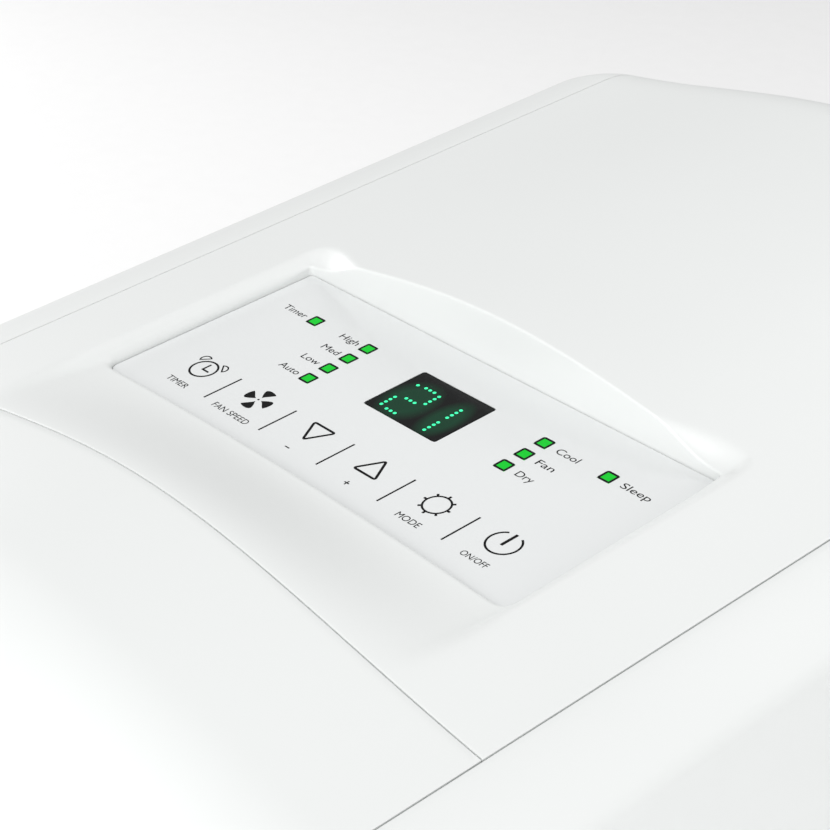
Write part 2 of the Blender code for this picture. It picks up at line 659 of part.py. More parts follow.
# Back ---------------------------------------------------------------------------------------
def rear_cover():
    """Back shell with two grille openings, the exhaust hole, two drain holes and a cord hole."""
    rows = [path_at_back(BACK_SEAM_Z) + GAP, path_at_back(DECK_Z[0]), STOPS[5]]
    columns = spread(-SEAM_X + GAP, 0, SEAM_X - GAP, count=3)
    cover = part("rear_cover", surface_grid("rear_cover", columns, rows, lambda x, s, crown: 0.0),
                 WHITE, 0.4)
    solidify(cover, WALL)
    front = BACK_Y - 12 * MM
    back = BACK_Y + 12 * MM
    bm = bmesh.new()
    for low, high in (UPPER_GRILLE_Z, LOWER_GRILLE_Z):
        add_box(bm, (-GRILLE_HALF, front, low), (GRILLE_HALF, back, high))
    boolean(cover, "DIFFERENCE", helper("grille_holes", finish(bm, "grille_holes")))
    for name, x, z, radius in ROUND_HOLES:
        sides = 36 if radius > 20 * MM else 20
        hole = cylinder(name, (x, BACK_Y, z), radius + GAP, 24 * MM, "Y", sides)
        boolean(cover, "DIFFERENCE", helper(name, hole))


ROUND_HOLES = [("exhaust_hole", EXHAUST_X, EXHAUST_Z, EXHAUST_RADIUS + 3 * MM),
               ("upper_drain_hole", 100 * MM, 405 * MM, 9 * MM),
               ("lower_drain_hole", 0, 60 * MM, 9 * MM),
               ("cord_hole", 115 * MM, 75 * MM, 8 * MM)]


def intake_grille(name, heights):
    """Removable grille: a frame plate with rows of narrow slots in two columns."""
    low, high = heights
    clear = 0.6 * MM
    front = BACK_Y - WALL
    outline = rounded_outline((-GRILLE_HALF + clear, low + clear), (GRILLE_HALF - clear, high - clear),
                              (3 * MM,) * 4, steps=3)
    grille = part(name, prism(name, outline, front, BACK_Y + 1.5 * MM, frame="XZ"), PALE, 0.5)
    slots = bmesh.new()
    pitch = 8 * MM
    rows = int((high - low - 24 * MM) / pitch)
    start = (low + high) / 2 - (rows - 1) * pitch / 2
    for row in range(rows):
        z = start + row * pitch
        for side in (-1, 1):
            inner = side * 4 * MM
            outer = side * (GRILLE_HALF - 12 * MM)
            add_box(slots, (min(inner, outer), front - 5 * MM, z - 1.9 * MM),
                    (max(inner, outer), BACK_Y + 5 * MM, z + 1.9 * MM))
    boolean(grille, "DIFFERENCE", helper(name + "_slots", finish(slots, name + "_slots")))
    return grille


def air_filter(name, heights):
    """Filter frame behind a grille, with its window panes."""
    low, high = heights
    back = BACK_Y - WALL - GAP
    front = back - 5 * MM
    edge = 3 * MM
    frame = part(name, boxes(name, ((-GRILLE_HALF + edge, front, low + edge),
                                    (GRILLE_HALF - edge, back, high - edge))), GREY, 0.6)
    panes = bmesh.new()
    columns = 4
    rows = 3
    bar = 4 * MM
    width = (2 * (GRILLE_HALF - edge) - (columns + 1) * bar) / columns
    height = (high - low - 2 * edge - (rows + 1) * bar) / rows
    for column in range(columns):
        for row in range(rows):
            x = -GRILLE_HALF + edge + bar + column * (width + bar)
            z = low + edge + bar + row * (height + bar)
            add_box(panes, (x, front - 5 * MM, z), (x + width, back + 5 * MM, z + height))
    boolean(frame, "DIFFERENCE", helper(name + "_panes", finish(panes, name + "_panes")))


def exhaust_collar():
    """Round collar that the exhaust hose locks into: a tube with an inner flange."""
    inner = EXHAUST_RADIUS
    outer = EXHAUST_RADIUS + 3 * MM
    flange = EXHAUST_RADIUS + 9 * MM
    back = PROTRUSION
    wall = -WALL - GAP
    profile = [(outer, back), (outer, wall), (flange, wall), (flange, wall - 3 * MM),
               (outer, wall - 3 * MM), (outer, -60 * MM), (inner, -60 * MM), (inner, back)]
    place = (EXHAUST_X, BACK_Y, EXHAUST_Z)
    part("exhaust_collar", turned("exhaust_collar", profile, 36, "Y", place), PALE, 0.5)


def round_fittings():
    """Drain caps and the cord's inlet grommet, each a turned piece in its own hole."""
    cap = [(0, 7 * MM), (8 * MM, 7 * MM), (9 * MM, 6 * MM), (11 * MM, 3 * MM), (11 * MM, GAP),
           (8.4 * MM, GAP), (8.4 * MM, -14 * MM), (0, -14 * MM)]
    grommet = [(6.5 * MM, 4 * MM), (9.5 * MM, 4 * MM), (10.5 * MM, 3 * MM), (10.5 * MM, GAP),
               (7.6 * MM, GAP), (7.6 * MM, -10 * MM), (3.8 * MM, -10 * MM), (3.8 * MM, 4 * MM)]
    for name, x, z, _ in ROUND_HOLES[1:3]:
        body = name.replace("_hole", "_cap")
        part(body, turned(body, cap, 20, "Y", (x, BACK_Y, z)), GREY, 0.6)
    _, x, z, _ = ROUND_HOLES[3]
    part("cord_inlet", turned("cord_inlet", grommet, 20, "Y", (x, BACK_Y, z)), BLACK, 0.6)


def cord_hook(name, z, tip):
    """L-shaped hook that stands on the back."""
    x = 134 * MM
    base = BACK_Y + GAP
    outer = BACK_Y + PROTRUSION
    mesh = boxes(name, ((x - 7 * MM, base, z - 4 * MM), (x + 7 * MM, outer, z + 4 * MM)))
    hook = part(name, mesh, PALE, 0.5)
    low = min(0, tip)
    high = max(0, tip)
    lip = boxes(name + "_lip", ((x - 7 * MM, outer - 4 * MM, z + low), (x + 7 * MM, outer, z + high)))
    boolean(hook, "UNION", helper(name + "_lip", lip))


# Base and casters ---------------------------------------------------------------------------
def base_pan():
    """Bottom tray that carries everything, with a hole for each caster's stem."""
    half = HALF_WIDTH - WALL - 2 * GAP
    front = FRONT_Y + WALL + 2 * MM
    back = BACK_Y - WALL - 24 * MM
    low, high = PAN_Z
    pan = part("base_pan", prism("base_pan", tray_outline(half, front, back, 0), low, high), GREY,
               0.55)
    room = prism("pan_room", tray_outline(half, front, back, 3 * MM), low + 6 * MM, high + 10 * MM)
    boolean(pan, "DIFFERENCE", helper("pan_room", room))
    stems = bmesh.new()
    for x, y in caster_places():
        add_cylinder(stems, (x, y, low), 4.4 * MM, 40 * MM, "Z", 14)
    boolean(pan, "DIFFERENCE", helper("stem_holes", finish(stems, "stem_holes")))


def tray_outline(half, front, back, inset):
    """Outline of a tray that follows the round corners of the covers."""
    corner = 28 * MM - inset
    return rounded_outline((-half + inset, front + inset), (half - inset, back - inset),
                           (corner, corner, 6 * MM, 6 * MM))


def caster_places():
    """Swivel axes of the four casters."""
    return [(side * CASTER_X, y) for y in CASTER_Y for side in (-1, 1)]


CORNERS = ("front_left", "front_right", "back_left", "back_right")


def casters():
    """Swivel casters: a fork with its stem, an axle and a wheel, trailing to the back."""
    head = PAN_Z[0] - GAP
    cheek = WHEEL_WIDTH / 2 + 0.8 * MM
    outer = cheek + 2.4 * MM
    for corner, (x, y) in zip(CORNERS, caster_places()):
        swivel = bpy.data.objects.new("swivel_" + corner, None)
        swivel.location = (x, y, 0)
        PARTS.objects.link(swivel)
        fork = part("caster_fork_" + corner,
                    cylinder("fork", (0, 0, head - 3 * MM), 14 * MM, 6 * MM, "Z", 24), GREY, 0.5,
                    parent=swivel)
        stem = cylinder("stem", (0, 0, head + 2.4 * MM), 4 * MM, 6.8 * MM, "Z", 14)
        boolean(fork, "UNION", helper("stem_" + corner, stem, swivel))
        for side in (-1, 1):
            low = (min(side * cheek, side * outer), -9 * MM, 0)
            outline = [(-11 * MM, head - 4 * MM), (11 * MM, head - 4 * MM),
                       (TRAIL + 5 * MM, WHEEL_RADIUS - 5 * MM), (TRAIL - 5 * MM, WHEEL_RADIUS - 5 * MM)]
            ear = prism("ear", outline, low[0], low[0] + 2.4 * MM)
            ear.transform(Matrix.Rotation(math.pi / 2, 4, "Z") @ Matrix.Rotation(math.pi / 2, 4, "X"))
            boolean(fork, "UNION", helper(f"ear_{corner}_{side}", ear, swivel))
        pin_hole = cylinder("pin_hole", (0, TRAIL, WHEEL_RADIUS), 2.4 * MM, 40 * MM, "X", 10)
        boolean(fork, "DIFFERENCE", helper("pin_hole_" + corner, pin_hole, swivel))
        rim = WHEEL_WIDTH / 2
        tyre = [(WHEEL_RADIUS - 1.5 * MM, rim), (WHEEL_RADIUS, rim - 1.5 * MM),
                (WHEEL_RADIUS, 1.5 * MM - rim), (WHEEL_RADIUS - 1.5 * MM, -rim), (11 * MM, -rim),
                (9 * MM, 2 * MM - rim), (2.4 * MM, 2 * MM - rim), (2.4 * MM, rim - 2 * MM),
                (9 * MM, rim - 2 * MM), (11 * MM, rim)]
        part("caster_wheel_" + corner, turned("wheel", tyre, 24, "X"), BLACK, 0.55, parent=swivel,
             location=(0, TRAIL, WHEEL_RADIUS))
        part("caster_axle_" + corner, cylinder("axle", (0, 0, 0), 2 * MM, 2 * outer + 1 * MM, "X", 10),
             STEEL, 0.3, 0.9, parent=swivel, location=(0, TRAIL, WHEEL_RADIUS))


# Inside -------------------------------------------------------------------------------------
def deck():
    """Drip tray between the cold and the warm compartment."""
    half = HALF_WIDTH - WALL - 2 * MM
    front = FRONT_Y + WALL + 3 * MM
    back = BACK_Y - WALL - 26 * MM
    low, high = DECK_Z
    tray = part("drip_deck", prism("drip_deck", tray_outline(half, front, back, 0), low, high),
                PALE, 0.55)
    room = prism("deck_room", tray_outline(half, front, back, 3 * MM), low + 3 * MM, high + 5 * MM)
    boolean(tray, "DIFFERENCE", helper("deck_room", room))


def coil(name, heights):
    """Finned coil block with its end plates and the return bends of its tubes."""
    low, high = heights
    front = BACK_Y - 60 * MM
    back = BACK_Y - 34 * MM
    half = 118 * MM
    block = part(name, boxes(name, ((-half, front, low), (half, back, high))), STEEL, 0.4, 0.9)
    bends = bmesh.new()
    pitch = 26 * MM
    rows = int((high - low - 20 * MM) / pitch) + 1
    for row in range(rows):
        z = (low + high - (rows - 1) * pitch) / 2 + row * pitch
        add_cylinder(bends, (0, front + 13 * MM, z), 4 * MM, 2 * half + 16 * MM, "X", 8)
    boolean(block, "UNION", helper(name + "_bends", finish(bends, name + "_bends")))


def blower(name, centre, radius, width):
    """Centrifugal wheel: a back plate with its hub, a ring of blades and a front ring. It
    turns about X and its open side faces -X."""
    hub = [(radius, 0), (radius, -2 * MM), (16 * MM, -2 * MM), (10 * MM, -20 * MM),
           (4.4 * MM, -20 * MM), (4.4 * MM, 0)]
    wheel = part(name, turned(name, hub, 24, "X"), PALE, 0.5, location=centre)
    rim = ring_profile(radius - 12 * MM, radius, -width, 2.5 * MM - width)
    ring = turned(name + "_ring", rim, 24, "X", centre)
    blades = bmesh.new()
    count = 16
    for index in range(count):
        turn = Matrix.Rotation(2 * math.pi * index / count, 4, "X")
        single = bmesh.ops.create_cube(blades, size=1)
        shape = (Matrix.Translation(centre) @ turn
                 @ Matrix.Translation((-width / 2, radius - 6.5 * MM, 0))
                 @ Matrix.Rotation(math.radians(35), 4, "X")
                 @ Matrix.Diagonal((width - 2 * MM, 11 * MM, 1.6 * MM, 1)))
        bmesh.ops.transform(blades, verts=single["verts"], matrix=shape)
    boolean(wheel, "UNION", helper(name + "_blades", finish(blades, name + "_blades")))
    boolean(wheel, "UNION", helper(name + "_front_ring", ring))


def blower_motor(name, centre, radius):
    """Motor can with the shaft that carries a blower wheel on its -X side."""
    profile = [(0, 50 * MM), (radius - 6 * MM, 50 * MM), (radius, 44 * MM), (radius, 6 * MM),
               (radius - 6 * MM, 0), (0, 0)]
    motor = part(name, turned(name, profile, 24, "X", centre), STEEL, 0.4, 0.7)
    shaft = cylinder(name + "_shaft", (centre[0] - 11 * MM, centre[1], centre[2]), 4 * MM, 32 * MM,
                     "X", 14)
    boolean(motor, "UNION", helper(name + "_shaft", shaft))


def scroll(name, centre, radius, width, side, throat):
    """Spiral housing band round a blower wheel. Its radius grows evenly with the angle, and
    the band ends in a straight throat that leads to the front (side -1) or back (side 1)."""
    turns = np.linspace(0, 1.5 * math.pi, 17)
    grow = radius * (1.1 + 0.22 * turns / turns[-1])
    points = [(1.1 * radius + 0.4 * throat, -8 * MM)]
    points += [(r * math.cos(t), -r * math.sin(t)) for t, r in zip(turns, grow)]
    points.append((throat, points[-1][1]))
    bm = bmesh.new()
    rows = [[bm.verts.new((centre[0] + x, centre[1] + side * y, centre[2] + z)) for y, z in points]
            for x in (-width / 2, width / 2)]
    for index in range(len(points) - 1):
        bm.faces.new((rows[0][index], rows[0][index + 1], rows[1][index + 1], rows[1][index]))
    housing = part(name, finish(bm, name), PALE, 0.5)
    solidify(housing, 2 * MM)


def compressor():
    """Sealed compressor: a round-topped can on three feet, with its suction bottle."""
    x, y = 95 * MM, -95 * MM
    low = PAN_Z[0] + 6 * MM + GAP
    radius = 55 * MM
    profile = [(0, 0), (30 * MM, 0), (radius, 18 * MM), (radius, 170 * MM), (46 * MM, 192 * MM),
               (20 * MM, 200 * MM), (0, 200 * MM)]
    can = part("compressor", turned("compressor", profile, 28, "Z", (x, y, low + 8 * MM)), BLACK, 0.4)
    feet = bmesh.new()
    for index in range(3):
        angle = 2 * math.pi * index / 3
        add_cylinder(feet, (x + 52 * MM * math.cos(angle), y + 52 * MM * math.sin(angle),
                            low + 14 * MM), 12 * MM, 28 * MM, "Z", 16)
    boolean(can, "UNION", helper("compressor_feet", finish(feet, "compressor_feet")))
    bottle = [(0, 0), (14 * MM, 0), (22 * MM, 12 * MM), (22 * MM, 120 * MM), (10 * MM, 138 * MM),
              (0, 138 * MM)]
    part("suction_bottle", turned("suction_bottle", bottle, 18, "Z", (x - 84 * MM, y, low + 40 * MM)),
         BLACK, 0.4)


def suction_pipe():
    """Copper pipe from the evaporator down to the suction bottle."""
    curve = bpy.data.curves.new("suction_pipe", "CURVE")
    curve.dimensions = "3D"
    curve.bevel_depth = 5 * MM
    curve.bevel_resolution = 2
    curve.use_fill_caps = True
    spline = curve.splines.new("POLY")
    low = PAN_Z[0] + 6 * MM + 40 * MM + 142 * MM
    corner = 20 * MM
    start = (11 * MM, -95 * MM, low)
    top = 396 * MM
    points = [start, (start[0], start[1], top - corner)]
    for step in range(1, 7):
        angle = math.pi / 2 * step / 6
        points.append((start[0], start[1] + corner * (1 - math.cos(angle)),
                       top - corner + corner * math.sin(angle)))
    points.append((start[0], -20 * MM, top))
    spline.points.add(len(points) - 1)
    for point, place in zip(spline.points, points):
        point.co = (*place, 1)
    pipe = bpy.data.objects.new("suction_pipe", curve)
    pipe.data.materials.append(material("suction_pipe", COPPER, 0.3, 0.9))
    weld = pipe.modifiers.new("welded_caps", "WELD")
    weld.merge_threshold = 1e-5
    PARTS.objects.link(pipe)


def electrical_box():
    """Closed box for the mains terminals and the run capacitor."""
    box = part("electrical_box", boxes("electrical_box", ((-150 * MM, -190 * MM, 90 * MM),
                                                          (-90 * MM, -90 * MM, 220 * MM))), STEEL,
               0.4, 0.6)
    bevel(box, 2 * MM)


def build():
    """Make every piece."""
    top_cover()
    control_panel()
    display_window()
    light_guides()
    control_board()
    board_tray()
    front_cover()
    outlet_flap()
    outlet_duct()
    vanes()
    small_motor("flap_motor", (OUTLET_HALF + 18 * MM, FRONT_Y + 40 * MM, 530 * MM), "X")
    small_motor("vane_motor", (0, VANE_Y, OUTLET_Z[1] + 18 * MM), "Z")
    side_panel("side_panel_left", -1)
    side_panel("side_panel_right", 1)
    grip("grip_left", -1)
    grip("grip_right", 1)
    rear_cover()
    intake_grille("grille_upper", UPPER_GRILLE_Z)
    intake_grille("grille_lower", LOWER_GRILLE_Z)
    air_filter("filter_upper", UPPER_GRILLE_Z)
    air_filter("filter_lower", LOWER_GRILLE_Z)
    exhaust_collar()
    round_fittings()
    cord_hook("cord_hook_upper", 330 * MM, 26 * MM)
    cord_hook("cord_hook_lower", 200 * MM, -26 * MM)
    base_pan()
    casters()
    deck()
    coil("evaporator_coil", (430 * MM, 600 * MM))
    coil("condenser_coil", (85 * MM, 265 * MM))
    blower("upper_blower", (70 * MM, -70 * MM, 506 * MM), 54 * MM, 140 * MM)
    blower_motor("upper_motor", (75 * MM, -70 * MM, 506 * MM), 34 * MM)
    scroll("upper_scroll", (0, -70 * MM, 506 * MM), 57 * MM, 150 * MM, -1, 86 * MM)
    blower("lower_blower", (-14 * MM, 36 * MM, 316 * MM), 56 * MM, 92 * MM)
    blower_motor("lower_motor", (-9 * MM, 36 * MM, 316 * MM), 34 * MM)
    scroll("lower_scroll", (-60 * MM, 36 * MM, 316 * MM), 59 * MM, 100 * MM, 1, 110 * MM)
    compressor()
    suction_pipe()
    electrical_box()


def centre():
    """Move everything so that the origin lies under the middle of the machine."""
    for piece in bpy.data.objects:
        if piece.parent is None:
            piece.location.y -= (FRONT_Y + BACK_Y + PROTRUSION) / 2


build()
centre()
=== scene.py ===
# %% [markdown]
# # A floor-standing portable air conditioner
#
# This lesson dresses a finished solid model in its real shapes and finishes. The machine is a
# white moulded body on casters: a crowned top with a recessed touch panel, a front cover with an
# outlet flap, two side panels, and a back with its intakes and exhaust collar.
# The solid model is the frame: it has the right sizes and moves, but coarse curves. The big
# covers are made again here as fine surfaces of the same shape. Small pieces keep their solids
# and get softened edges and better materials.

# %% Load the frame
import math

import bmesh
import bpy
import numpy as np
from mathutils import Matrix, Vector


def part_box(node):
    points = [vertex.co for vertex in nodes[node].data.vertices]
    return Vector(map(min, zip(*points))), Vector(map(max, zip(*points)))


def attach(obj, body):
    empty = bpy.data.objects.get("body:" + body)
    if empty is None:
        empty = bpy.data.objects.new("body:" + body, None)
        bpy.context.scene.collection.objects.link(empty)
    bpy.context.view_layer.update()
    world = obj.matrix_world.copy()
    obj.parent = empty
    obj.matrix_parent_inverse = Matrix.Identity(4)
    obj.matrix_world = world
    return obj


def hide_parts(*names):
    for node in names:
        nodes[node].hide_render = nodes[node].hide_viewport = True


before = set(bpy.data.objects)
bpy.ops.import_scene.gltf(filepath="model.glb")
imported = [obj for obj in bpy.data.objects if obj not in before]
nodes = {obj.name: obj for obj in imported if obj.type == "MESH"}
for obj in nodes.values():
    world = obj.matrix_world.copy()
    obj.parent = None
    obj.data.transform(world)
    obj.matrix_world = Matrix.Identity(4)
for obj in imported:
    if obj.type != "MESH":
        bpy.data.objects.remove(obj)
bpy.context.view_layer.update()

# %% [markdown]
# ## Sizes
#
# The touch keys stand 30 mm apart, and the top was drawn in that pitch, so most sizes here are
# multiples of it. The rest comes from the boxes of the solid pieces, so that a new surface ends
# exactly where its solid does.

# %% The machine's sizes
MM = 0.001
KEY = 30 * MM
TILT = math.radians(5.15)
PANEL_ORIGIN = Vector((0, -82 * MM, 651.6 * MM))
FRONT_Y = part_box("front_cover")[0][1]
BACK_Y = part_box("top_cover")[1][1]
SKIRT_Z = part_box("front_cover")[0][2]
HALF_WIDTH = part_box("side_panel_right")[1][0]
FRONT_RADIUS = 60 * MM
BACK_RADIUS = 35 * MM
SEAM_X = 4.77 * KEY
CROWN = 0.68 * KEY
GAP = 0.3 * MM
WALL = 2.5 * MM
FRONT_SEAM_V = -1.96 * KEY
BACK_SEAM_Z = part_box("top_cover")[0][2] - GAP
RECESS_HALF = 3.355 * KEY
RECESS_V = (-0.38 * KEY, 2.64 * KEY)
RIM_RISE = 0.08 * KEY
POCKET_FLOOR = -1.8 * MM
print("body", 2 * HALF_WIDTH, "wide and", BACK_Y - FRONT_Y, "deep")

# %% [markdown]
# ## The side path
#
# Seen from the side, the body is one line: up the front, round a large corner, along the sloping
# top, round a smaller corner and down the back. Every cover lies on this line, so each surface
# can be written with three numbers: x across, s along the line, n out from it.
# Working in x, s and n keeps every seam straight and every cover flush with its neighbour.

# %% Measure the side path
slope = math.tan(TILT)
front_tangent = FRONT_RADIUS * math.tan((math.pi / 2 - TILT) / 2)
back_tangent = BACK_RADIUS * math.tan((math.pi / 2 + TILT) / 2)
front_top_z = PANEL_ORIGIN.z + slope * (FRONT_Y - PANEL_ORIGIN.y)
back_top_z = PANEL_ORIGIN.z + slope * (BACK_Y - PANEL_ORIGIN.y)
FRONT_CENTRE = (FRONT_Y + FRONT_RADIUS, front_top_z - front_tangent)
BACK_CENTRE = (BACK_Y - BACK_RADIUS, back_top_z - back_tangent)
STRETCHES = np.array([
    FRONT_CENTRE[1] - SKIRT_Z,
    FRONT_RADIUS * (math.pi / 2 - TILT),
    (BACK_Y - FRONT_Y) / math.cos(TILT) - front_tangent - back_tangent,
    BACK_RADIUS * (math.pi / 2 + TILT),
    BACK_CENTRE[1] - SKIRT_Z,
])
STOPS = np.concatenate([[0], np.cumsum(STRETCHES)])
TOP_START_V = (FRONT_CENTRE[0] - FRONT_RADIUS * math.sin(TILT) - PANEL_ORIGIN.y) / math.cos(TILT)
print("side path", round(STOPS[-1], 4), "m long")


# %% Points on the side path
def side_path(s):
    """Base (y, z), outward normal (y, z) and share of crown at distances s. The two corners are
    arcs: centre + radius * (cos a, sin a), with the angle a running evenly with s."""
    s = np.asarray(s, float)
    top = math.pi / 2 + TILT
    leg = np.clip(np.searchsorted(STOPS, s, side="right") - 1, 0, 4)
    rest = s - STOPS[leg]
    share = rest / STRETCHES[leg]
    angle = np.choose(leg, [np.full_like(s, math.pi), math.pi + (top - math.pi) * share,
                            np.full_like(s, top), top * (1 - share), np.zeros_like(s)])
    cos, sin = np.cos(angle), np.sin(angle)
    front = leg <= 2
    y = np.where(front, FRONT_CENTRE[0] + FRONT_RADIUS * cos, BACK_CENTRE[0] + BACK_RADIUS * cos)
    z = np.where(front, FRONT_CENTRE[1] + FRONT_RADIUS * sin, BACK_CENTRE[1] + BACK_RADIUS * sin)
    y = y + np.where(leg == 2, rest * math.cos(TILT), 0)
    z = z + np.select([leg == 0, leg == 2, leg == 4],
                      [rest - STRETCHES[0], rest * math.sin(TILT), -rest], 0)
    crown = np.choose(leg, [np.zeros_like(s), np.sin(share * math.pi / 2) ** 2, np.ones_like(s),
                            np.cos(share * math.pi / 2) ** 2, np.zeros_like(s)])
    return y, z, cos, sin, crown


def at_panel(v):
    """Distance along the side path of a place v on the sloping top."""
    return STOPS[2] + v - TOP_START_V


def lay(x, s, n):
    """Points in space of x across, s along the side path and n out from it."""
    y, z, out_y, out_z, _ = side_path(s)
    return np.stack([x + 0 * s, y + n * out_y, z + n * out_z], axis=-1)


print("recess from s =", round(at_panel(RECESS_V[0]), 4), "to", round(at_panel(RECESS_V[1]), 4))

# %% [markdown]
# ## Height of the top
#
# The top is crowned like a shallow roof: highest in the middle, meeting the side panels at a low
# angle. Its height is the mean of a parabola and a squared cosine, which keeps the middle full
# and lets the flanks run out softly. Around the recess the crown dishes down to a low rim, far
# in front, little at the sides and not at all behind, where a tall wall is left standing. The
# rim itself bows up a little in the middle of the front, so the panel's front edge looks curved.


# %% Crown and dish
def smooth_step(t):
    """3t^2 - 2t^3 between 0 and 1, flat outside."""
    t = np.clip(t, 0, 1)
    return t * t * (3 - 2 * t)


def crown_height(x):
    """Mean of 1 - (x/seam)^2 and cos^2 of the same share of a quarter turn, times the rise."""
    share = np.clip(np.abs(x) / SEAM_X, 0, 1)
    return CROWN * 0.5 * ((1 - share ** 2) + np.cos(share * math.pi / 2) ** 2)


def rim_height(x, v):
    """Corner height, plus a parabola across the front, plus a slope of 15 in 1000 backwards."""
    bow = np.maximum(1 - (x / (3.1 * KEY)) ** 2, 0)
    back = np.clip(v - RECESS_V[0], 0, 3 * KEY)
    return RIM_RISE + 0.08 * KEY * bow + 0.015 * back


def top_height(x, s):
    """Crown, lowered to the rim's height by a dish that fades with the distance from the
    recess: 0.24 keys beside it, 1.6 keys before it, and only near the corners behind it."""
    height = crown_height(x) * side_path(s)[4]
    v = s - STOPS[2] + TOP_START_V
    beside = np.maximum(np.abs(x) - RECESS_HALF, 0) / (0.24 * KEY)
    before = np.maximum(RECESS_V[0] - v, 0) / (1.6 * KEY)
    corner = smooth_step((np.abs(x) - 2.38 * KEY) / (0.9 * KEY))
    behind = np.maximum(v - RECESS_V[1], 0) / (0.05 * KEY + 0.3 * KEY * corner)
    dish = 1 - smooth_step(np.sqrt(beside ** 2 + before ** 2 + behind ** 2))
    dish = dish * np.where(v > RECESS_V[1], corner, 1.0)
    return height - (height - np.minimum(height, rim_height(x, v))) * dish


print("crown", round(float(crown_height(0)) / MM, 1), "mm, at the recess's side",
      round(float(crown_height(RECESS_HALF)) / MM, 1), "mm")

# %% [markdown]
# ## From arrays to meshes
#
# Each surface is a grid of points. One function joins grids into a mesh, turns it so that its
# faces look outwards and merges the points where two grids meet. Another gives the covers
# their moulded wall and the small round edge that every mould leaves.


# %% Mesh helpers
def grid_faces(rows, columns, close_rows=False, close_columns=False, start=0):
    """Quads between neighbouring points of a grid, wrapped round where it is closed."""
    index = start + np.arange(rows * columns).reshape(rows, columns)
    if close_columns:
        index = np.concatenate([index, index[:, :1]], axis=1)
    if close_rows:
        index = np.concatenate([index, index[:1]], axis=0)
    corners = (index[:-1, :-1], index[:-1, 1:], index[1:, 1:], index[1:, :-1])
    return np.stack(corners, axis=-1).reshape(-1, 4)


def surface(name, grids, sharp=35, outward=None):
    """A mesh object from (points, close_rows, close_columns) grids. With outward, an open
    surface is turned so that its mean normal looks that way; without, the closed shape is."""
    points, faces, start = [], [], 0
    for spots, close_rows, close_columns in grids:
        rows, columns = spots.shape[:2]
        points.append(spots.reshape(-1, 3))
        faces.append(grid_faces(rows, columns, close_rows, close_columns, start))
        start += rows * columns
    mesh = bpy.data.meshes.new(name)
    mesh.from_pydata(np.concatenate(points), [], np.concatenate(faces).tolist())
    bm = bmesh.new()
    bm.from_mesh(mesh)
    bmesh.ops.remove_doubles(bm, verts=bm.verts, dist=2e-6)
    bmesh.ops.dissolve_degenerate(bm, dist=1e-7, edges=bm.edges)
    bmesh.ops.recalc_face_normals(bm, faces=bm.faces)
    if outward is not None:
        total = sum((face.normal * face.calc_area() for face in bm.faces), Vector())
        if total.dot(outward) < 0:
            bmesh.ops.reverse_faces(bm, faces=bm.faces)
    bm.to_mesh(mesh)
    bm.free()
    mesh.shade_smooth()
    mesh.set_sharp_from_angle(angle=math.radians(sharp))
    made = bpy.data.objects.new(name, mesh)
    bpy.context.scene.collection.objects.link(made)
    return made


MOULD_EDGE = 0.35 * MM


def moulded_wall(piece):
    """Wall and rounded rim of a moulded cover."""
    wall = piece.modifiers.new("wall", "SOLIDIFY")
    wall.thickness = WALL
    wall.offset = -1
    rim = piece.modifiers.new("round_edges", "BEVEL")
    rim.width = MOULD_EDGE
    rim.segments = 2
    rim.limit_method = "ANGLE"
    rim.angle_limit = math.radians(60)
    return piece


def place(piece, body, slot, *replaced):
    """Put a piece on its body in place of its solids."""
    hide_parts(*replaced)
    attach(piece, body)
    print(piece.name, len(piece.data.polygons), "faces on", body)
    return piece


# %% [markdown]
# ## Loops round an opening
#
# A cover with an opening is made of loops: the first follows the opening, the last follows the
# cover's outline, and those between blend from one to the other. The corner points of the
# opening run to the corners of the outline, so no face is ever cut by an edge.


# %% Rounded and square loops
ARC_STEPS = 8


def loop(low, high, radii, edge_steps, grow=0.0, square=False):
    """Points round a rectangle from its front-left corner. Each corner is an arc, centre +
    (radius + grow) * (cos a, sin a), or with square the two straight legs round that arc."""
    t = np.linspace(0, 1, ARC_STEPS + 1)
    middle = ((low[0] + high[0]) / 2, (low[1] + high[1]) / 2)
    corners = [(low[0], low[1], 180), (high[0], low[1], 270), (high[0], high[1], 0),
               (low[0], high[1], 90)]
    arcs = []
    for (x, y, start), radius in zip(corners, radii):
        centre = np.array([x + math.copysign(radius, middle[0] - x),
                           y + math.copysign(radius, middle[1] - y)])
        angle = math.radians(start)
        along = np.array([math.cos(angle), math.sin(angle)])
        across = np.array([-math.sin(angle), math.cos(angle)])
        if square:
            first, second = np.minimum(2 * (1 - t), 1), np.minimum(2 * t, 1)
        else:
            first, second = np.cos(t * math.pi / 2), np.sin(t * math.pi / 2)
        arcs.append(centre + (radius + grow) * (first[:, None] * along + second[:, None] * across))
    points = []
    for k in range(4):
        end, begin = arcs[k][-1], arcs[(k + 1) % 4][0]
        share = np.linspace(0, 1, edge_steps[k] + 1)[1:-1, None]
        points += [arcs[k], end + (begin - end) * share]
    return np.concatenate(points)


sample = loop((0, 0), (1, 1), (0.1,) * 4, (20,) * 4)
print("a loop with 20 steps an edge has", len(sample), "points")

# %% [markdown]
# ## Top cover
#
# One moulding: the crowned skin, the recess for the touch panel with its low rim in front and
# its tall wall behind, and the ledge that the panel sits on. The rows start on the ledge, climb
# the wall, turn over a round lip and then spread to the seams. The lip is large at the front and
# sides, where a finger slides over it, and tight along the tall wall.

# %% Top cover
COVER_EDGES = (84, 66, 84, 66)
LIP = 0.9 * MM
FRONT_LIP = 2.3 * MM
LEDGE = 6 * MM
OUTLINE_CORNER = 16 * MM


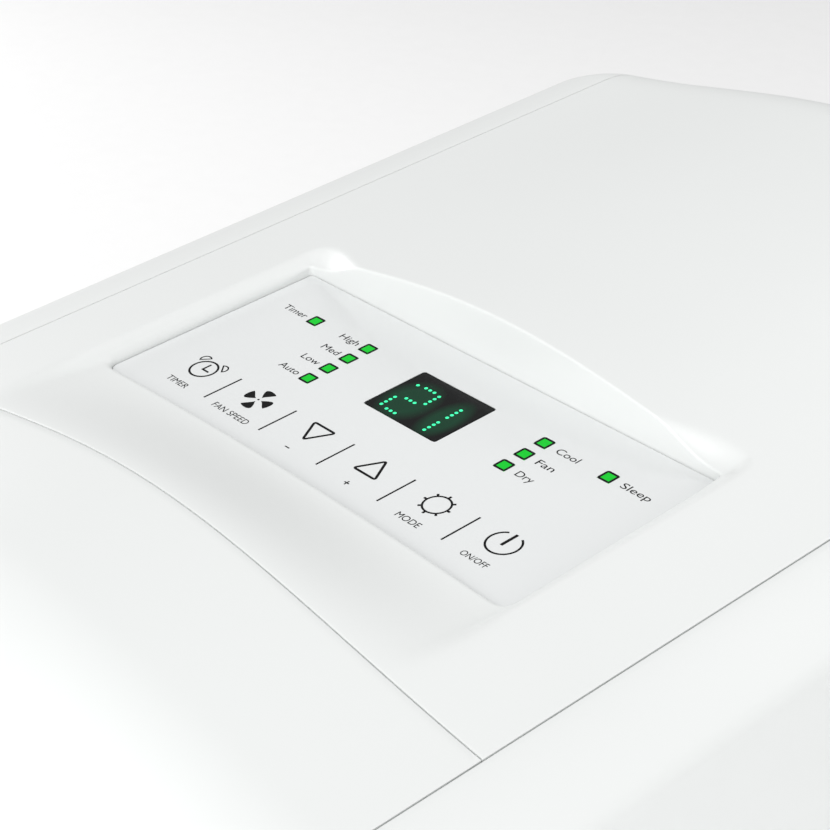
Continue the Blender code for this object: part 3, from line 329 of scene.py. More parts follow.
def outward_from(low, high, radii):
    """The opening's loop and the unit directions that point away from it, from a loop grown by
    one unit less the loop itself."""
    foot = loop(low, high, radii, COVER_EDGES)
    return foot, loop(low, high, radii, COVER_EDGES, grow=1.0) - foot


def cover_rows(inner, outer_low, outer_high, spread_rows, bunch):
    """Plan positions of the rows that spread from an opening's lip to the outline. The share of
    the way is (row / rows) ^ bunch, so that rows crowd at the lip."""
    outer = loop(outer_low, outer_high, (OUTLINE_CORNER,) * 4, COVER_EDGES, square=True)
    share = (np.linspace(0, 1, spread_rows) ** bunch)[:, None, None]
    return inner + (outer - inner) * share


def top_cover_surface():
    """Rows over (x, s): the ledge at a fixed n, the wall with n rising to the top's height less
    the lip, the lip as a quarter circle, then the top's height itself."""
    low = (-RECESS_HALF, at_panel(RECESS_V[0]))
    high = (RECESS_HALF, at_panel(RECESS_V[1]))
    radii = (4 * MM, 4 * MM, 2 * MM, 2 * MM)
    back = STOPS[4] + BACK_CENTRE[1] - BACK_SEAM_Z
    rows = []
    ledge = loop((low[0] + LEDGE, low[1] + LEDGE), (high[0] - LEDGE, high[1] - LEDGE),
                 (4 * MM,) * 4, COVER_EDGES)
    foot, away = outward_from(low, high, radii)
    behind = smooth_step((foot[:, 1] - high[1]) / (0.5 * KEY) + 1)
    lip = FRONT_LIP + (LIP - FRONT_LIP) * behind
    for plan in (ledge, ledge + (foot - ledge) * 0.9, foot):
        rows.append(lay(plan[:, 0], plan[:, 1], np.full(len(plan), POCKET_FLOOR)))
    lip_top = top_height(foot[:, 0], foot[:, 1])
    for share in np.linspace(0, 1, 9)[1:]:
        rise = POCKET_FLOOR + (lip_top - lip - POCKET_FLOOR) * share
        rows.append(lay(foot[:, 0], foot[:, 1], rise))
    for turn in np.linspace(0, math.pi / 2, 8)[1:]:
        plan = foot + away * (lip * (1 - math.cos(turn)))[:, None]
        height = top_height(plan[:, 0], plan[:, 1]) - lip * (1 - math.sin(turn))
        rows.append(lay(plan[:, 0], plan[:, 1], height))
    outer = ((-SEAM_X + GAP, at_panel(FRONT_SEAM_V) + GAP), (SEAM_X - GAP, back - GAP))
    for plan in cover_rows(plan, *outer, 74, 1.7)[1:]:
        rows.append(lay(plan[:, 0], plan[:, 1], top_height(plan[:, 0], plan[:, 1])))
    return np.stack(rows)


top_cover = surface("top_cover_shell", [(top_cover_surface(), False, True)], 50, Vector((0, 0, 1)))
moulded_wall(top_cover)
place(top_cover, "chassis", "top_cover", "top_cover")

# %% [markdown]
# ## Front cover
#
# A tall shell that rises from the skirt, turns over the large front corner and meets the top
# cover. Its crown grows from nothing as it turns the corner. The opening for the outlet flap is
# a loop in the flat part, and the rows spread from it in the same way as on the top.

# %% Front cover
OUTLET_HALF = 120 * MM
OUTLET_Z = (500 * MM, 576 * MM)


def front_cover_surface():
    """Rows over (x, s): a short wall inside the opening, its round lip, and the crowned skin."""
    low = (-OUTLET_HALF, OUTLET_Z[0] - SKIRT_Z)
    high = (OUTLET_HALF, OUTLET_Z[1] - SKIRT_Z)
    radii = (4 * MM,) * 4
    rows = []
    foot, away = outward_from(low, high, radii)
    for turn in np.linspace(0, math.pi / 2, 5):
        plan = foot + away * LIP * (1 - math.cos(turn))
        rows.append(lay(plan[:, 0], plan[:, 1], np.full(len(plan), -LIP * (1 - math.sin(turn)))))
    outer = ((-SEAM_X + GAP, 0.0), (SEAM_X - GAP, at_panel(FRONT_SEAM_V) - GAP))
    for plan in cover_rows(plan, *outer, 60, 1.2)[1:]:
        height = crown_height(plan[:, 0]) * side_path(plan[:, 1])[4]
        rows.append(lay(plan[:, 0], plan[:, 1], height))
    return np.stack(rows)


front_cover = surface("front_cover_shell", [(front_cover_surface(), False, True)], 50,
                      Vector((0, -1, 0)))
moulded_wall(front_cover)
place(front_cover, "chassis", "front_cover", "front_cover")

# %% [markdown]
# ## Side panels
#
# Each side panel is a flat side with a grip slot, and a shoulder that falls away from the seam,
# slowly at first, and turns over a small round edge. The flat part spreads from the slot to the
# outline; the shoulder is one profile carried along the side path.

# %% Side panels
def middle(node):
    """Middle of a solid's box."""
    low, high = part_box(node)
    return (low + high) / 2


SHOULDER = 27.3 * MM
EDGE_RADIUS = 6.6 * MM
GRIP_SPOT = middle("grip_left").yz
GRIP_HALF = (48 * MM + GAP, 14 * MM + GAP)
GRIP_CORNER = 13 * MM


def shoulder_profile():
    """x and n from the seam outwards: n = -(0.14 d + 6.78 d^2) over the shoulder, then an arc to
    the upright side."""
    out = np.linspace(GAP, SHOULDER, 12)
    start = math.atan(0.14 + 2 * 6.78 * SHOULDER)
    end_n = -(0.14 * SHOULDER + 6.78 * SHOULDER ** 2)
    turn = np.linspace(start, math.pi / 2, 9)[1:]
    centre = (HALF_WIDTH - EDGE_RADIUS, end_n - EDGE_RADIUS * math.cos(start))
    x = np.concatenate([SEAM_X + out, centre[0] + EDGE_RADIUS * np.sin(turn)])
    n = np.concatenate([-(0.14 * out + 6.78 * out ** 2), centre[1] + EDGE_RADIUS * np.cos(turn)])
    return x, n


def side_stations():
    """Distances along the side path, close together in the corners."""
    counts = (14, 26, 22, 22, 14)
    legs = [np.linspace(STOPS[k], STOPS[k + 1], count, endpoint=False)
            for k, count in enumerate(counts)]
    return np.concatenate(legs + [STOPS[-1:]])


def slot_loop(angle, grow):
    """Points of the grip slot's outline seen from its middle at the given angles: a rounded
    rectangle sampled finely and read off by angle."""
    fine = loop((-GRIP_HALF[0], -GRIP_HALF[1]), GRIP_HALF, (GRIP_CORNER,) * 4, (300,) * 4, grow)
    bearing = np.unwrap(np.arctan2(fine[:, 1], fine[:, 0]))
    bearing = np.concatenate([bearing, bearing[:1] + 2 * math.pi])
    fine = np.concatenate([fine, fine[:1]])
    wrapped = (angle - bearing[0]) % (2 * math.pi) + bearing[0]
    return np.interp(wrapped, bearing, fine[:, 0]), np.interp(wrapped, bearing, fine[:, 1])


def side_panel_grids(side):
    """The flat part as loops from the slot's lip to the outline, and the shoulder strip."""
    x, n = shoulder_profile()
    stations = side_stations()
    strip = lay(x[:, None], stations[None, :], n[:, None])
    rim = strip[-1]
    skirt = rim[-1] + (rim[0] - rim[-1]) * np.linspace(0, 1, 24)[1:-1, None]
    outline = np.concatenate([rim, skirt])
    flat = outline[:, 1:] - np.array(GRIP_SPOT)
    angle = np.arctan2(flat[:, 1], flat[:, 0])
    rows = []
    for turn in np.linspace(0, math.pi / 2, 5):
        first, second = slot_loop(angle, LIP * (1 - math.cos(turn)))
        depth = HALF_WIDTH - LIP * (1 - math.sin(turn))
        rows.append(np.stack([np.full_like(first, depth), first + GRIP_SPOT.x,
                              second + GRIP_SPOT.y], axis=-1))
    lip = rows[-1]
    for share in np.linspace(0, 1, 12)[1:]:
        rows.append(lip + (outline - lip) * share)
    flat_rows = np.stack(rows)
    scale = np.array([side, 1, 1])
    return [(flat_rows * scale, False, True), (strip * scale, False, False)]


for name, side in (("left", -1), ("right", 1)):
    panel = surface(f"side_panel_{name}_shell", side_panel_grids(side), 50, Vector((side, 0, 0)))
    moulded_wall(panel)
    place(panel, "chassis", f"side_panel_{name}", f"side_panel_{name}")

# %% [markdown]
# ## Turned pieces
#
# The exhaust collar, the drain caps, the cord's grommet and the caster wheels were all turned or
# moulded round. A profile of radius and height goes round an axis: (r cos a, r sin a, h).


# %% Turned pieces
def soften(profile, radius, steps=4):
    """The profile with each corner cut back by radius and rounded with a quadratic curve."""
    profile = np.asarray(profile, float)
    before = np.roll(profile, 1, axis=0) - profile
    after = np.roll(profile, -1, axis=0) - profile
    reach_before = np.linalg.norm(before, axis=1, keepdims=True)
    reach_after = np.linalg.norm(after, axis=1, keepdims=True)
    start = profile + before * np.minimum(radius / reach_before, 0.45)
    end = profile + after * np.minimum(radius / reach_after, 0.45)
    t = np.linspace(0, 1, steps + 1)[None, :, None]
    curve = ((1 - t) ** 2 * start[:, None] + 2 * t * (1 - t) * profile[:, None]
             + t ** 2 * end[:, None])
    return curve.reshape(-1, 2)


def turned(name, profile, axis, centre, steps=72):
    """A closed profile (r, h) turned about an axis through centre."""
    profile = np.asarray(profile, float)
    angle = np.linspace(0, 2 * math.pi, steps, endpoint=False)
    r, h = profile[:, :1], profile[:, 1:]
    across, up, along = r * np.cos(angle), r * np.sin(angle), h + 0 * angle
    order = {"X": (along, across, up), "Y": (up, along, across), "Z": (across, up, along)}[axis]
    spots = np.stack(order, axis=-1) + np.array(centre)
    return surface(name, [(spots, True, True)], 40)


collar_centre = middle("exhaust_collar")
collar_profile = np.array([(65, 14), (65, -2.8), (71, -2.8), (71, -5.8), (65, -5.8), (65, -60),
                           (62, -60), (62, 14)]) * MM
collar = turned("exhaust_collar_tube", soften(collar_profile, 0.8 * MM), "Y",
                (collar_centre.x, BACK_Y, collar_centre.z), 120)
place(collar, "chassis", "exhaust_collar", "exhaust_collar")

cap_profile = np.array([(0, 7), (8, 7), (10, 5.5), (11, 3), (11, 0.3), (8.4, 0.3), (8.4, -14),
                        (0, -14)]) * MM
for name in ("upper", "lower"):
    spot = middle(f"{name}_drain_cap")
    cap = turned(f"{name}_drain_plug", soften(cap_profile, 0.5 * MM), "Y", (spot.x, BACK_Y, spot.z))
    place(cap, f"{name}_cap", f"{name}_drain_cap", f"{name}_drain_cap")

grommet_profile = np.array([(6.5, 4), (9.5, 4), (10.5, 3), (10.5, 0.3), (7.6, 0.3), (7.6, -10),
                            (3.8, -10), (3.8, 4)]) * MM
spot = middle("cord_inlet")
grommet = turned("cord_grommet", soften(grommet_profile, 0.4 * MM), "Y", (spot.x, BACK_Y, spot.z))
place(grommet, "chassis", "cord_inlet", "cord_inlet")

# %% [markdown]
# ## Caster wheels
#
# Hard nylon wheels: a slightly crowned tread, round shoulders and a dished web round the hub.

# %% Caster wheels
CORNERS = ("front_left", "front_right", "back_left", "back_right")
tyre_profile = np.array([(15.6, 7.5), (17, 5.4), (17, 0), (17, -5.4), (15.6, -7.5), (11, -7.5),
                         (9.4, -5.5), (5, -5.5), (4.4, -7.2), (2.4, -7.2), (2.4, 7.2), (4.4, 7.2),
                         (5, 5.5), (9.4, 5.5), (11, 7.5)]) * MM
for corner in CORNERS:
    spot = middle(f"caster_wheel_{corner}")
    wheel = turned(f"wheel_{corner}", soften(tyre_profile, 0.9 * MM, 3), "X", spot, 56)
    place(wheel, f"wheel_{corner}", f"caster_wheel_{corner}", f"caster_wheel_{corner}")

# %% [markdown]
# ## Softened solids
#
# The other pieces keep their solids. Their meshes are loose triangles, so three modifiers work
# in turn: Weld joins them, Decimate melts flat triangles into whole faces, and Bevel rounds the
# edges that are left.

# %% Round the edges of the solids
SOFT_EDGES = {
    "control_panel": 0.12, "rear_cover": 0.5, "outlet_flap": 0.5, "outlet_duct": 0.3,
    "grille_upper": 0.35, "grille_lower": 0.35, "filter_upper": 0.4, "filter_lower": 0.4,
    "grip_left": 0.4, "grip_right": 0.4, "cord_hook_upper": 1.2, "cord_hook_lower": 1.2,
    "base_pan": 0.8, "drip_deck": 0.5,
}
SOFT_EDGES.update({f"vane_{k}": 0.3 for k in range(1, 6)})
SOFT_EDGES.update({f"caster_fork_{corner}": 0.4 for corner in CORNERS})
for name, width in SOFT_EDGES.items():
    solid = nodes[name]
    weld = solid.modifiers.new("joined", "WELD")
    weld.merge_threshold = 1e-5
    flat = solid.modifiers.new("whole_faces", "DECIMATE")
    flat.decimate_type = "DISSOLVE"
    flat.angle_limit = math.radians(2)
    soft = solid.modifiers.new("round_edges", "BEVEL")
    soft.width = width * MM
    soft.segments = 2
    soft.limit_method = "ANGLE"
    soft.angle_limit = math.radians(40)
print(len(SOFT_EDGES), "solids softened")

# %% [markdown]
# ## Legends on the panel
#
# The panel is printed in black: five dividers between six touch keys, a symbol and a word for
# each key, a word beside each indicator and a thin frame round each indicator's window.
# Everything is drawn flat in key pitches, x across and v back, and laid on the panel's plane.


# %% Drawing on the panel's plane
def on_panel(x, v, n):
    """Points in space of panel coordinates in metres: v runs back along the slope, n up from it."""
    cos, sin = math.cos(TILT), math.sin(TILT)
    y = PANEL_ORIGIN.y + v * cos - n * sin
    z = PANEL_ORIGIN.z + v * sin + n * cos
    return np.stack([x + 0 * v, y, z], axis=-1)


def stroke(points, width, closed=False):
    """A ribbon along a line of points. At each point it goes out by half the width along the
    mean of the two neighbouring edge normals, lengthened so that the ribbon keeps its width."""
    points = np.asarray(points, float)
    ahead = np.roll(points, -1, axis=0) - points
    behind = points - np.roll(points, 1, axis=0)
    if not closed:
        ahead[-1] = behind[-1]
        behind[0] = ahead[0]
    ahead = ahead / np.linalg.norm(ahead, axis=1, keepdims=True)
    behind = behind / np.linalg.norm(behind, axis=1, keepdims=True)
    normal = np.stack([-(ahead + behind)[:, 1], (ahead + behind)[:, 0]], axis=1)
    normal = normal / np.linalg.norm(normal, axis=1, keepdims=True)
    straight = np.stack([-ahead[:, 1], ahead[:, 0]], axis=1)
    reach = width / 2 / np.maximum((normal * straight).sum(axis=1, keepdims=True), 0.4)
    sides = np.stack([points + normal * reach, points - normal * reach])
    return sides, closed


def arc(centre, radius, start, end, steps=40):
    """Points of a circle's arc between two angles in degrees."""
    angle = np.radians(np.linspace(start, end, steps))
    return np.array(centre) + radius * np.stack([np.cos(angle), np.sin(angle)], axis=1)


def rounded(points, radius, steps=6):
    """A closed polygon with its corners rounded."""
    return soften(points, radius, steps)


print("a divider is", 0.53 * KEY / MM, "mm long")

# %% Symbols of the six touch keys
ribbons = []
for key in range(-2, 3):
    ribbons.append(stroke([(key, 0.001), (key, 0.536)], 0.023))

# Timer: a clock with two bells and its hands.
clock = (-2.504, 0.373)
ribbons.append(stroke(arc(clock, 0.166, 0, 351, 40), 0.026, closed=True))
for bearing in (42.5, 137.5):
    turn = math.radians(bearing)
    bell = (clock[0] + 0.218 * math.cos(turn), clock[1] + 0.218 * math.sin(turn))
    ribbons.append(stroke(arc(bell, 0.066, bearing - 90, bearing + 90, 16), 0.018, closed=True))
ribbons.append(stroke([(-2.511, 0.487), (-2.511, 0.361), (-2.402, 0.361)], 0.026))

# Minus and plus: triangles that point down and up, with rounded corners.
down = [(-0.669, 0.527), (-0.319, 0.527), (-0.494, 0.216)]
up = [(0.337, 0.243), (0.685, 0.243), (0.511, 0.552)]
ribbons.append(stroke(rounded(down, 0.040), 0.032, closed=True))
ribbons.append(stroke(rounded(up, 0.040), 0.032, closed=True))
ribbons.append(stroke([(-0.529, 0.003), (-0.457, 0.003)], 0.016))
ribbons.append(stroke([(0.477, 0.004), (0.549, 0.004)], 0.016))
ribbons.append(stroke([(0.513, -0.032), (0.513, 0.040)], 0.016))

# Mode: a ring with eight short rays.
sun = (1.508, 0.381)
ribbons.append(stroke(arc(sun, 0.155, 0, 351, 40), 0.024, closed=True))
for bearing in range(0, 360, 45):
    turn = np.array([math.cos(math.radians(bearing)), math.sin(math.radians(bearing))])
    ribbons.append(stroke([np.array(sun) + turn * 0.158, np.array(sun) + turn * 0.200], 0.029))

# Power: an open ring with an upright bar.
power = (2.502, 0.391)
ribbons.append(stroke(arc(power, 0.190, 120, 420, 48), 0.025))
ribbons.append(stroke([(power[0], 0.350), (power[0], 0.584)], 0.038))
print(len(ribbons), "ribbons")


# %% Fan symbol and indicator frames
FAN = (-1.503, 0.391)


def fan_blade(bearing):
    """Edge points of one blade in polar form: the trailing edge falls back by 26 degrees as the
    radius grows, the leading edge runs 25 degrees ahead, and a curve rounds the corner."""
    share = np.linspace(0, 1, 9)
    radius = 0.045 + 0.159 * share
    trailing = -26 * (1 - (1 - share) ** 2.2)
    leading = 25 * (1 - (1 - share[:7]) ** 4.5)
    t = np.linspace(0, 1, 6)[1:-1]
    corner_radius = (1 - t) ** 2 * 0.204 + 2 * t * (1 - t) * 0.204 + t ** 2 * radius[6]
    corner_angle = (1 - t) ** 2 * 8 + 2 * t * (1 - t) * 24 + t ** 2 * leading[6]
    reach = np.concatenate([radius, np.full(5, 0.204), corner_radius, radius[6::-1]])
    angle = np.concatenate([trailing, np.linspace(-20, 8, 5), corner_angle, leading[::-1]])
    turn = np.radians(angle + bearing)
    return np.stack([reach * np.cos(turn), reach * np.sin(turn)], axis=1) + np.array(FAN)


filled = [fan_blade(bearing) for bearing in (0, 90, 180, 270)]
filled.append(arc(FAN, 0.014, 0, 330, 12))

LENS_X = {"timer": -2.415, "speed": -1.455, "mode": 1.465, "sleep": 2.417}
LENS_ROWS = {"timer": 1, "speed": 4, "mode": 3, "sleep": 1}
LENS_V = [1.940 - 0.2925 * row for row in range(4)]
for name, x in LENS_X.items():
    for v in LENS_V[:LENS_ROWS[name]]:
        half = 0.0755
        square = [(x - half, v - half), (x + half, v - half), (x + half, v + half),
                  (x - half, v + half)]
        ribbons.append(stroke(rounded(square, 0.020, 4), 0.030, closed=True))
print(len(filled), "filled shapes,", len(ribbons), "ribbons")

# %% [markdown]
# ## Words on the panel
#
# Plain function words, set in a light sans-serif. Each word is a text object that is turned into
# a mesh, scaled to its printed width and moved to its place, all flat in key pitches.

# %% Words
CAPTION_V = -0.041
FONT_CAPITAL = 0.729
WORDS = [
    ("TIMER", -2.499, CAPTION_V, 0.360, 0.094, "CENTER"),
    ("FAN SPEED", -1.503, CAPTION_V, 0.612, 0.094, "CENTER"),
    ("MODE", 1.497, CAPTION_V, 0.348, 0.094, "CENTER"),
    ("ON/OFF", 2.490, CAPTION_V + 0.008, 0.380, 0.086, "CENTER"),
]
SIDE_WORDS = {
    "timer": ("Timer",), "speed": ("High", "Med", "Low", "Auto"),
    "mode": ("Cool", "Fan", "Dry"), "sleep": ("Sleep",),
}
WORD_WIDTHS = {"Timer": 0.395, "High": 0.309, "Med": 0.283, "Low": 0.288, "Auto": 0.329,
               "Cool": 0.320, "Fan": 0.255, "Dry": 0.243, "Sleep": 0.409}
for name, words in SIDE_WORDS.items():
    left = name in ("timer", "speed")
    for word, v in zip(words, LENS_V):
        x = LENS_X[name] + (-0.162 if left else 0.206)
        WORDS.append((word, x, v - 0.055, WORD_WIDTHS[word], 0.106, "RIGHT" if left else "LEFT"))


def word_mesh(text, x, v, width, height, align):
    """Faces of one word in key pitches: the font's outline scaled to width and to capital
    height, where FONT_CAPITAL is a capital's height in the font, then moved to x and v."""
    curve = bpy.data.curves.new("word", "FONT")
    curve.body = text
    carrier = bpy.data.objects.new("word", curve)
    bpy.context.scene.collection.objects.link(carrier)
    flat = bpy.data.meshes.new_from_object(carrier.evaluated_get(
        bpy.context.evaluated_depsgraph_get()))
    spots = np.empty(len(flat.vertices) * 3)
    flat.vertices.foreach_get("co", spots)
    spots = spots.reshape(-1, 3)[:, :2]
    faces = [tuple(face.vertices) for face in flat.polygons]
    bpy.data.objects.remove(carrier)
    low, high = spots.min(axis=0), spots.max(axis=0)
    anchor = {"LEFT": low[0], "RIGHT": high[0], "CENTER": (low[0] + high[0]) / 2}[align]
    scale = (width / (high[0] - low[0]), height / FONT_CAPITAL)
    spots = (spots - (anchor, 0)) * scale + (x, v)
    return spots, faces


word_shapes = [word_mesh(*word) for word in WORDS]
print(len(word_shapes), "words")

# %% Lay the legends on the panel
INK_TOP = 0.03 * MM
INK_THICK = 0.02 * MM


def ink_object(name, ribbons, filled, words):
    """One flat mesh of all the print, given the thickness of ink."""
    points, faces, start = [], [], 0
    for sides, closed in ribbons:
        points.append(sides.reshape(-1, 2))
        faces += grid_faces(2, sides.shape[1], close_columns=closed, start=start).tolist()
        start += len(points[-1])
    for outline in filled:
        points.append(outline)
        faces.append(list(range(start, start + len(outline))))
        start += len(outline)
    for spots, word_faces in words:
        points.append(spots)
        faces += [[start + index for index in face] for face in word_faces]
        start += len(spots)
    flat = np.concatenate(points) * KEY
    mesh = bpy.data.meshes.new(name)
    mesh.from_pydata(on_panel(flat[:, 0], flat[:, 1], INK_TOP), [], faces)
    bm = bmesh.new()
    bm.from_mesh(mesh)
    bmesh.ops.dissolve_degenerate(bm, dist=1e-8, edges=bm.edges)
    upside_down = [face for face in bm.faces if face.normal.z < 0]
    bmesh.ops.reverse_faces(bm, faces=upside_down)
    bm.to_mesh(mesh)
    bm.free()
    made = bpy.data.objects.new(name, mesh)
    bpy.context.scene.collection.objects.link(made)
    ink = made.modifiers.new("ink", "SOLIDIFY")
    ink.thickness = INK_THICK
    ink.offset = -1
    return made


legends = ink_object("panel_legends", ribbons, filled, word_shapes)
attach(legends, "chassis")
print("legends", len(legends.data.polygons), "faces")

# %% [markdown]
# ## Digits
#
# Behind the smoked window two digits are made of small round light-emitting dots, four to each
# upright segment and three to each level one. The set temperature reads twenty-one.

# %% Lit dots
dots = []
for v in (1.820, 1.530, 1.243):
    dots += [(x, v) for x in (-0.306, -0.237, -0.167)]
dots += [(-0.063, v) for v in (1.798, 1.732, 1.664, 1.596)]
dots += [(-0.423, v) for v in (1.801, 1.466, 1.400, 1.334, 1.268)]
dots += [(0.327, v) for v in (1.771, 1.704, 1.638, 1.570, 1.440, 1.376, 1.308, 1.240)]
DOT_RADIUS = 0.022
dot_shapes = [arc(dot, DOT_RADIUS, 0, 330, 12) for dot in dots]
digits = ink_object("display_digits", [], dot_shapes, [])
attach(digits, "chassis")
print(len(dots), "lit dots")

# %% [markdown]
# ## Filter mesh
#
# Each intake has a fine black nylon mesh stretched over its frame. The mesh is one thin slab with
# a woven pattern, because single threads would be far too small to see.


# %% Filter mesh
def slab(name, low, high):
    """A closed box as one grid: four rings of four corners, with the first and last drawn
    together at the middle of the two ends."""
    x0, y0, z0 = low
    x1, y1, z1 = high
    ring = np.array([(x0, z0), (x1, z0), (x1, z1), (x0, z1)])
    centre = ring.mean(axis=0)
    rows = [(np.tile(centre, (4, 1)), y0), (ring, y0), (ring, y1), (np.tile(centre, (4, 1)), y1)]
    spots = np.stack([np.stack([flat[:, 0], np.full(4, y), flat[:, 1]], axis=1)
                      for flat, y in rows])
    return surface(name, [(spots, False, True)], 30)


for name in ("upper", "lower"):
    low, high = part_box(f"filter_{name}")
    mesh_front = low.y + 0.6 * MM
    net = slab(f"filter_mesh_{name}", (low.x + 2 * MM, mesh_front - 0.9 * MM, low.z + 2 * MM),
               (high.x - 2 * MM, mesh_front - 0.7 * MM, high.z - 2 * MM))
    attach(net, f"{name}_intake")
    print(net.name, "rides on", f"{name}_intake")

# %% [markdown]
# # Finishes
#
# One function turns an sRGB hex code into the linear numbers that shaders want, and one function
# adds a node with its settings and links. Every finish starts from the real material.


# %% Colour and node helpers
def linear(code):
    """Linear RGBA of an sRGB hex code."""
    values = np.array([int(code[k:k + 2], 16) / 255 for k in (1, 3, 5)])
    low = values / 12.92
    high = ((values + 0.055) / 1.055) ** 2.4
    return (*np.where(values <= 0.04045, low, high), 1.0)


def add(material, kind, settings=(), **inputs):
    """Add a node. settings are its attributes; inputs are values or output sockets, by name with
    _ for a space."""
    node = material.node_tree.nodes.new(kind)
    for name, value in dict(settings).items():
        setattr(node, name, value)
    for name, value in inputs.items():
        numbered = name[1:].isdigit()
        socket = node.inputs[int(name[1:]) if numbered else name.replace("_", " ")]
        if isinstance(value, bpy.types.NodeSocket):
            material.node_tree.links.new(value, socket)
        else:
            socket.default_value = value
    return node


def finish(name):
    """An empty node material with its Principled shader."""
    made = bpy.data.materials.new(name)
    made.use_nodes = True
    made.node_tree.nodes.clear()
    shader = add(made, "ShaderNodeBsdfPrincipled")
    output = add(made, "ShaderNodeOutputMaterial")
    made.node_tree.links.new(shader.outputs["BSDF"], output.inputs["Surface"])
    return made, shader


def link(material, output, shader, socket):
    """Join an output to one of the shader's sockets."""
    material.node_tree.links.new(output, shader.inputs[socket])


print("white plastic is", [round(float(c), 3) for c in linear("#E8EAE9")])

# %% [markdown]
# ## Moulded plastics
#
# Covers of household machines are ABS, injection moulded against a finely etched tool. The etch
# leaves a satin skin: highlights are soft, and only a low light shows the grain. The grain is
# about 0.1 mm, too fine to see, so it is drawn at 0.5 mm and very shallow. Over a whole cover the
# gloss drifts a little where the melt cooled unevenly.


# %% Moulded plastic
def moulded_plastic(name, light, dark, roughness, grain=0.5 * MM, depth=0.01 * MM, ior=1.53,
                    sheen=0.5):
    """Satin moulded plastic: two near colours drift over 80 mm, roughness drifts over 40 mm, and
    a fine grain gives the bump."""
    made, shader = finish(name)
    place_of = add(made, "ShaderNodeTexCoord").outputs["Object"]
    drift = add(made, "ShaderNodeTexNoise", Vector=place_of, Scale=1 / (80 * MM), Detail=2.0)
    colour = add(made, "ShaderNodeMix", {"data_type": "RGBA"}, _0=drift.outputs["Fac"],
                 _6=linear(light), _7=linear(dark))
    gloss = add(made, "ShaderNodeTexNoise", Vector=place_of, Scale=1 / (40 * MM), Detail=3.0)
    rough = add(made, "ShaderNodeMapRange", Value=gloss.outputs["Fac"], To_Min=roughness - 0.04,
                To_Max=roughness + 0.04)
    etch = add(made, "ShaderNodeTexNoise", Vector=place_of, Scale=1 / grain, Detail=2.0)
    bump = add(made, "ShaderNodeBump", Height=etch.outputs["Fac"], Distance=depth, Strength=0.35)
    link(made, colour.outputs[2], shader, "Base Color")
    link(made, rough.outputs["Result"], shader, "Roughness")
    link(made, bump.outputs["Normal"], shader, "Normal")
    shader.inputs["IOR"].default_value = ior
    shader.inputs["Specular IOR Level"].default_value = sheen
    return made


abs_white = moulded_plastic("ABS moulded, satin white", "#E8EAE9", "#E5E7E6", 0.38)
abs_panel = moulded_plastic("acrylic panel, polished white", "#E5E7E7", "#E3E5E5", 0.12,
                            depth=0.001 * MM, ior=1.49)
abs_pale = moulded_plastic("ABS moulded, plain pale grey", "#DDDFDE", "#D8DAD9", 0.50)
pp_grey = moulded_plastic("polypropylene moulded, mid grey", "#8B8D8F", "#828486", 0.55, ior=1.49)
nylon_black = moulded_plastic("nylon moulded, black", "#1D1E20", "#242527", 0.45)
rubber_grey = moulded_plastic("EPDM rubber moulded, grey", "#5F6163", "#565859", 0.75, 0.8 * MM,
                              0.03 * MM)
rubber_black = moulded_plastic("EPDM rubber moulded, black", "#191A1B", "#212223", 0.72, 0.8 * MM,
                               0.03 * MM)
ink_black = moulded_plastic("screen-printed ink, black", "#060708", "#0B0C0C", 0.5, sheen=0.1)
board_green = moulded_plastic("glass-fibre circuit board, green", "#0D4A24", "#0B4020", 0.40)
print("plastics and rubbers ready")

# %% [markdown]
# ## Lit and smoked plastics
#
# The indicator windows are clear plastic over green light-emitting diodes: bright, even green.
# The display window is smoked acrylic, nearly black and glossy, with a painted green glow round the
# lit digits: the dots' light is drawn as emission on the window itself, fading towards its edges.

# %% Indicator light
lamp_green, shader = finish("acrylic light guide, lit green")
shader.inputs["Base Color"].default_value = linear("#053A0C")
shader.inputs["Roughness"].default_value = 0.25
shader.inputs["Specular IOR Level"].default_value = 0.1
spots = add(lamp_green, "ShaderNodeTexCoord").outputs["Object"]
cloud = add(lamp_green, "ShaderNodeTexNoise", Vector=spots, Scale=1 / (2 * MM), Detail=1.0)
glow = add(lamp_green, "ShaderNodeMix", {"data_type": "RGBA"}, _0=cloud.outputs["Fac"],
           _6=linear("#08C424"), _7=linear("#14D63A"))
link(lamp_green, glow.outputs[2], shader, "Emission Color")
shader.inputs["Emission Strength"].default_value = 0.95

dot_green, shader = finish("light-emitting diode, lit sea green")
shader.inputs["Base Color"].default_value = linear("#1BBF7E")
spots = add(dot_green, "ShaderNodeTexCoord").outputs["Object"]
cloud = add(dot_green, "ShaderNodeTexNoise", Vector=spots, Scale=1 / (0.8 * MM), Detail=1.0)
glow = add(dot_green, "ShaderNodeMix", {"data_type": "RGBA"}, _0=cloud.outputs["Fac"],
           _6=linear("#2AE898"), _7=linear("#3CF0A8"))
link(dot_green, glow.outputs[2], shader, "Emission Color")
shader.inputs["Emission Strength"].default_value = 1.0
print("lamps ready")

# %% Smoked window
smoked, shader = finish("acrylic smoked, polished")
shader.inputs["Roughness"].default_value = 0.16
shader.inputs["IOR"].default_value = 1.49
shader.inputs["Specular IOR Level"].default_value = 0.1
spots = add(smoked, "ShaderNodeTexCoord").outputs["Object"]
specks = add(smoked, "ShaderNodeTexNoise", Vector=spots, Scale=1 / (6 * MM), Detail=2.0)
smoke = add(smoked, "ShaderNodeMix", {"data_type": "RGBA"}, _0=specks.outputs["Fac"],
            _6=linear("#0E0F0F"), _7=linear("#161717"))
link(smoked, smoke.outputs[2], shader, "Base Color")


